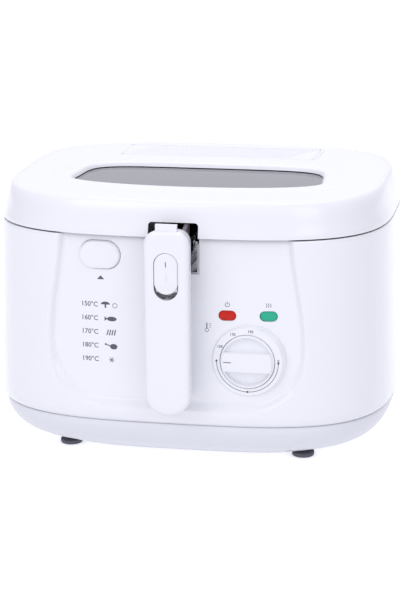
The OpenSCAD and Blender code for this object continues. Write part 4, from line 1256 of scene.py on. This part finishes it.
def printed_text(name, lines, surface):
    """Numbers laid on a surface; each line is text, x, z, height and alignment."""
    parts = []
    for text, x, z, height, align in lines:
        curve = bpy.data.curves.new(name, "FONT")
        curve.body, curve.size, curve.align_x, curve.align_y = text, height * FONT_SIZE, align, "CENTER"
        curve.extrude, curve.resolution_u, curve.offset = INK, 3, STROKE_WEIGHT
        holder = bpy.data.objects.new(name, curve)
        bpy.context.scene.collection.objects.link(holder)
        bpy.context.view_layer.update()
        mesh = bpy.data.meshes.new_from_object(holder.evaluated_get(bpy.context.evaluated_depsgraph_get()))
        points = [(x + v.co.x, surface(x + v.co.x, z + v.co.y) - v.co.z, z + v.co.y) for v in mesh.vertices]
        parts.append((points, [tuple(f.vertices) for f in mesh.polygons]))
        bpy.data.objects.remove(holder)
        bpy.data.curves.remove(curve)
        bpy.data.meshes.remove(mesh)
    made = mesh_object(name, joined(*parts))
    work = bmesh.new()
    work.from_mesh(made.data)
    bmesh.ops.remove_doubles(work, verts=work.verts, dist=1e-7)
    bmesh.ops.recalc_face_normals(work, faces=work.faces)
    work.to_mesh(made.data)
    work.free()
    complete(made, "grey printing ink", "housing", [])


def food_signs(x, rows):
    """One plain sign for each row: mushroom, fish, chips, drumstick and flake."""
    z = rows[0]
    cap = [math.pi * i / 12 for i in range(13)]
    signs = [[(x - 5 + 4.2 * math.cos(a), z + 0.4 + 2.6 * math.sin(a)) for a in cap]]
    signs += [stroke((x - 5, z + 0.6), (x - 5, z - 2.6), 1.5)] + hoop(x + 3.6, z - 0.3, 2.0, 0.5, steps=20)
    z = rows[1]
    signs += [oval(x + 0.6, z, 4.4, 2.1), [(x - 3.4, z), (x - 6, z + 2), (x - 6, z - 2)]]
    z = rows[2]
    for k in range(4):
        signs.append(stroke((x - 4 + 2.2 * k, z - 2.4), (x - 2.6 + 2.2 * k, z + 2.6), 1.0))
    z = rows[3]
    signs += [oval(x + 2, z - 0.2, 3.4, 2.5), stroke((x - 1, z + 0.3), (x - 5, z + 1.6), 0.9)]
    signs.append(oval(x - 5.2, z + 1.7, 0.9, 0.9))
    z = rows[4]
    for k in range(3):
        a = math.pi * k / 3
        across, up = 2.6 * math.cos(a), 2.6 * math.sin(a)
        signs.append(stroke((x - across, z - up), (x + across, z + up), 0.6))
    return signs


class FRYER_OT_prints(PieceOperator, bpy.types.Operator):
    """Printed marks: temperatures, plain food signs, lamp signs and the dial's scale"""

    bl_idname = "fryer.prints"
    bl_label = "Printed marks"

    def build(self):
        rows = [143.1 - 12.4 * i for i in range(5)]
        texts = [("%d°C" % (150 + 10 * i), -84.5, z, 4.4, "LEFT") for i, z in enumerate(rows)]
        printed_text("panel_temperatures", texts, front_y)
        signs = food_signs(-57.0, rows)
        signs.append([(-69.3, 165.9), (-62.7, 165.9), (-66, 169.4)])
        # power sign: a broken ring with a stroke; heating sign: three rising strokes
        signs += hoop(LAMPS[0], 148.2, 1.9, 0.5, 120, 420, 20)
        signs.append(stroke((LAMPS[0], 148.4), (LAMPS[0], 151), 0.5))
        for k in (-1, 0, 1):
            base = LAMPS[1] + 1.8 * k
            signs.append(stroke((base - 0.4, 146.4), (base + 0.4, 148.2), 0.5))
            signs.append(stroke((base + 0.4, 148.2), (base - 0.4, 150), 0.5))
        # thermometer sign left of the dial
        signs += hoop(28.5, 125.0, 1.5, 0.45, steps=16) + [stroke((28.5, 126.2), (28.5, 131.5), 0.9)]
        signs += [stroke((30.6, 127.6 + 1.6 * k), (32.2, 127.6 + 1.6 * k), 0.4) for k in range(3)]
        printed("panel_signs", signs, front_y)

        def boss(_x, _z):
            return BOSS_FACE_Y

        line = 27.2
        marks = hoop(*DIAL, line, 0.5, 180, 360, 48)
        for angle in (180, 270, 360):
            a = math.radians(angle)
            marks.append(oval(DIAL[0] + line * math.cos(a), DIAL[1] + line * math.sin(a), 0.95, 0.95))
        printed("dial_scale", marks, boss)
        texts = []
        for text, angle in (("150", 152), ("170", 118), ("190", 84), ("0", 4)):
            a = math.radians(angle)
            texts.append((text, DIAL[0] + 27.3 * math.cos(a), DIAL[1] + 27.3 * math.sin(a), 2.5, "CENTER"))
        printed_text("dial_numbers", texts, boss)


CARRIED_OVER = {
    "deck_ring": "black phenolic",
    "heating_element": "heat-tinted steel",
    "heat_shield": "zinc-plated sheet",
    "shield_stud": "zinc-plated sheet",
    "thermal_cutout": "cream steatite",
    "thermostat_body": "cream steatite",
    "thermostat_bracket": "zinc-plated sheet",
    "thermostat_bulb": "drawn copper",
    "capillary_tube": "drawn copper",
    "terminal_block": "cream steatite",
    "lead_wires": "blue PVC insulation",
    "lamp_holders": "satin white ABS",
    "handle_guide": "bright nickel plate",
    "cord_gland": "satin grey polypropylene",
    "button_guide": "zinc-plated sheet",
    "hinge_brackets": "bright nickel plate",
    "hinge_pins": "ground steel",
    "thermostat_shaft": "ground steel",
    "window_glass": "grey tempered glass",
    "window_seal": "black silicone",
    "filter_tray": "pressed aluminium",
    "filter_foam": "cream filter foam",
    "filter_charcoal": "charcoal felt",
    "hinge_leaves": "bright nickel plate",
    "lid_striker": "satin white ABS",
    "basket_rim": "bright nickel plate",
    "basket_bracket": "bright nickel plate",
    "handle_pin": "ground steel",
    "handle_back": "satin white ABS",
    "latch_bar": "polished white ABS",
}


class FRYER_OT_carried_over(PieceOperator, bpy.types.Operator):
    """Finishes for the frame's own pieces that stay in sight"""

    bl_idname = "fryer.carried_over"
    bl_label = "Frame finishes"

    def build(self):
        for node, finish in CARRIED_OVER.items():
            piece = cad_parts[node]
            if not piece.material_slots:
                piece.data.materials.append(bpy.data.materials[finish])
            for place in piece.material_slots:
                place.material = bpy.data.materials[finish]


class FRYER_OT_stage(PieceOperator, bpy.types.Operator):
    """Camera, pale floor and soft studio light"""

    bl_idname = "fryer.stage"
    bl_label = "Stage"

    def build(self):
        scene = bpy.context.scene
        data = bpy.data.cameras.new("camera")
        camera = bpy.data.objects.new("camera", data)
        scene.collection.objects.link(camera)
        scene.camera = camera
        data.sensor_width, data.lens = 36.0, 119.06
        data.shift_x, data.shift_y = -0.0088, 0.0037
        data.clip_end = 50
        place, aim = Vector((0.3463, -1.7589, 0.6018)), Vector((0, 0.009, 0.110))
        forward = (aim - place).normalized()
        flat = forward.cross(Vector((0, 0, 1))).normalized()
        roll = math.radians(-0.49)
        right = flat * math.cos(roll) + flat.cross(forward) * math.sin(roll)
        up = right.cross(forward)
        camera.matrix_world = Matrix.Translation(place) @ Matrix((right, up, -forward)).transposed().to_4x4()
        floor_mesh = bpy.data.meshes.new("floor")
        reach = 9.0
        corners = [(-reach, -reach, 0), (reach, -reach, 0), (reach, reach, 0), (-reach, reach, 0)]
        floor_mesh.from_pydata(corners, [], [(0, 1, 2, 3)])
        floor = bpy.data.objects.new("floor", floor_mesh)
        scene.collection.objects.link(floor)
        # Seamless paper: flat white with a little light of its own
        paper = finish_material(
            "pale studio floor", srgb("#fbfbfc"), 0.9,
            Emission_Color=(1.0, 1.0, 1.0, 1.0), Emission_Strength=0.4,
        )
        floor_mesh.materials.append(paper)
        # the floor stays white without throwing its light back up at the white shells
        floor.visible_diffuse = False
        world = bpy.data.worlds.new("studio")
        scene.world = world
        world.use_nodes = True
        tree = world.node_tree
        sky = tree.nodes["Background"]
        sky.inputs["Color"].default_value = srgb("#f5f6ff") + (1.0,)
        # a light tent: bright in front, behind and above, dimmer to both sides
        bright, side_loss = 1.06, 0.46
        place = add_node(tree, "ShaderNodeTexCoord")
        way = add_node(tree, "ShaderNodeSeparateXYZ", {}, {"Vector": place.outputs["Generated"]})
        side = add_node(tree, "ShaderNodeMath", {"operation": "POWER", 1: 2.0}, {0: way.outputs["X"]})
        dimmed = add_node(
            tree,
            "ShaderNodeMath",
            {"operation": "MULTIPLY_ADD", 1: -side_loss, 2: bright},
            {0: side.outputs[0]},
        )
        tree.links.new(dimmed.outputs[0], sky.inputs["Strength"])
        scene.view_settings.view_transform = "Standard"
        for name, spot, size, power in (
            ("left softbox", (-1.0, -1.9, 1.6), 1.2, 7.5),
            ("right softbox", (1.3, -1.8, 1.2), 0.9, 3.6),
            ("top softbox", (0.1, 0.3, 2.2), 1.8, 7.0),
        ):
            lamp = bpy.data.lights.new(name, "AREA")
            lamp.shape, lamp.size, lamp.energy = "SQUARE", size, power
            lamp.color = srgb("#fbfbff")
            holder = bpy.data.objects.new(name, lamp)
            scene.collection.objects.link(holder)
            turn = (Vector((0, 0, 0.12)) - Vector(spot)).to_track_quat("-Z", "Y")
            holder.matrix_world = Matrix.Translation(spot) @ turn.to_matrix().to_4x4()


OPERATORS = (
    FRYER_OT_stage,
    FRYER_OT_housing,
    FRYER_OT_base,
    FRYER_OT_lid,
    FRYER_OT_lid_inside,
    FRYER_OT_grille,
    FRYER_OT_lamps,
    FRYER_OT_button,
    FRYER_OT_dial,
    FRYER_OT_handle,
    FRYER_OT_vessel,
    FRYER_OT_basket,
    FRYER_OT_springs,
    FRYER_OT_screws,
    FRYER_OT_prints,
    FRYER_OT_carried_over,
)


class FRYER_PT_panel(bpy.types.Panel):
    """Lists the fryer's sizes, colours and pieces"""

    bl_label = "Deep fryer"
    bl_idname = "FRYER_PT_panel"
    bl_space_type = "VIEW_3D"
    bl_region_type = "UI"
    bl_category = "Deep fryer"

    def draw(self, context):
        for group in (context.scene.fryer_sizes, context.scene.fryer_colours):
            box = self.layout.box()
            for key in group.bl_rna.properties.keys():
                if key not in ("rna_type", "name"):
                    box.prop(group, key)
        for operator in OPERATORS:
            self.layout.operator(operator.bl_idname)


CLASSES = (FryerSizes, FryerColours) + OPERATORS + (FRYER_PT_panel,)


def register():
    for item in CLASSES:
        bpy.utils.register_class(item)
    bpy.types.Scene.fryer_sizes = PointerProperty(type=FryerSizes)
    bpy.types.Scene.fryer_colours = PointerProperty(type=FryerColours)


def unregister():
    del bpy.types.Scene.fryer_colours
    del bpy.types.Scene.fryer_sizes
    for item in reversed(CLASSES):
        bpy.utils.unregister_class(item)


def main():
    register()
    make_materials()
    for operator in OPERATORS:
        group, name = operator.bl_idname.split(".")
        getattr(getattr(bpy.ops, group), name)()


if __name__ == "__main__":
    main()
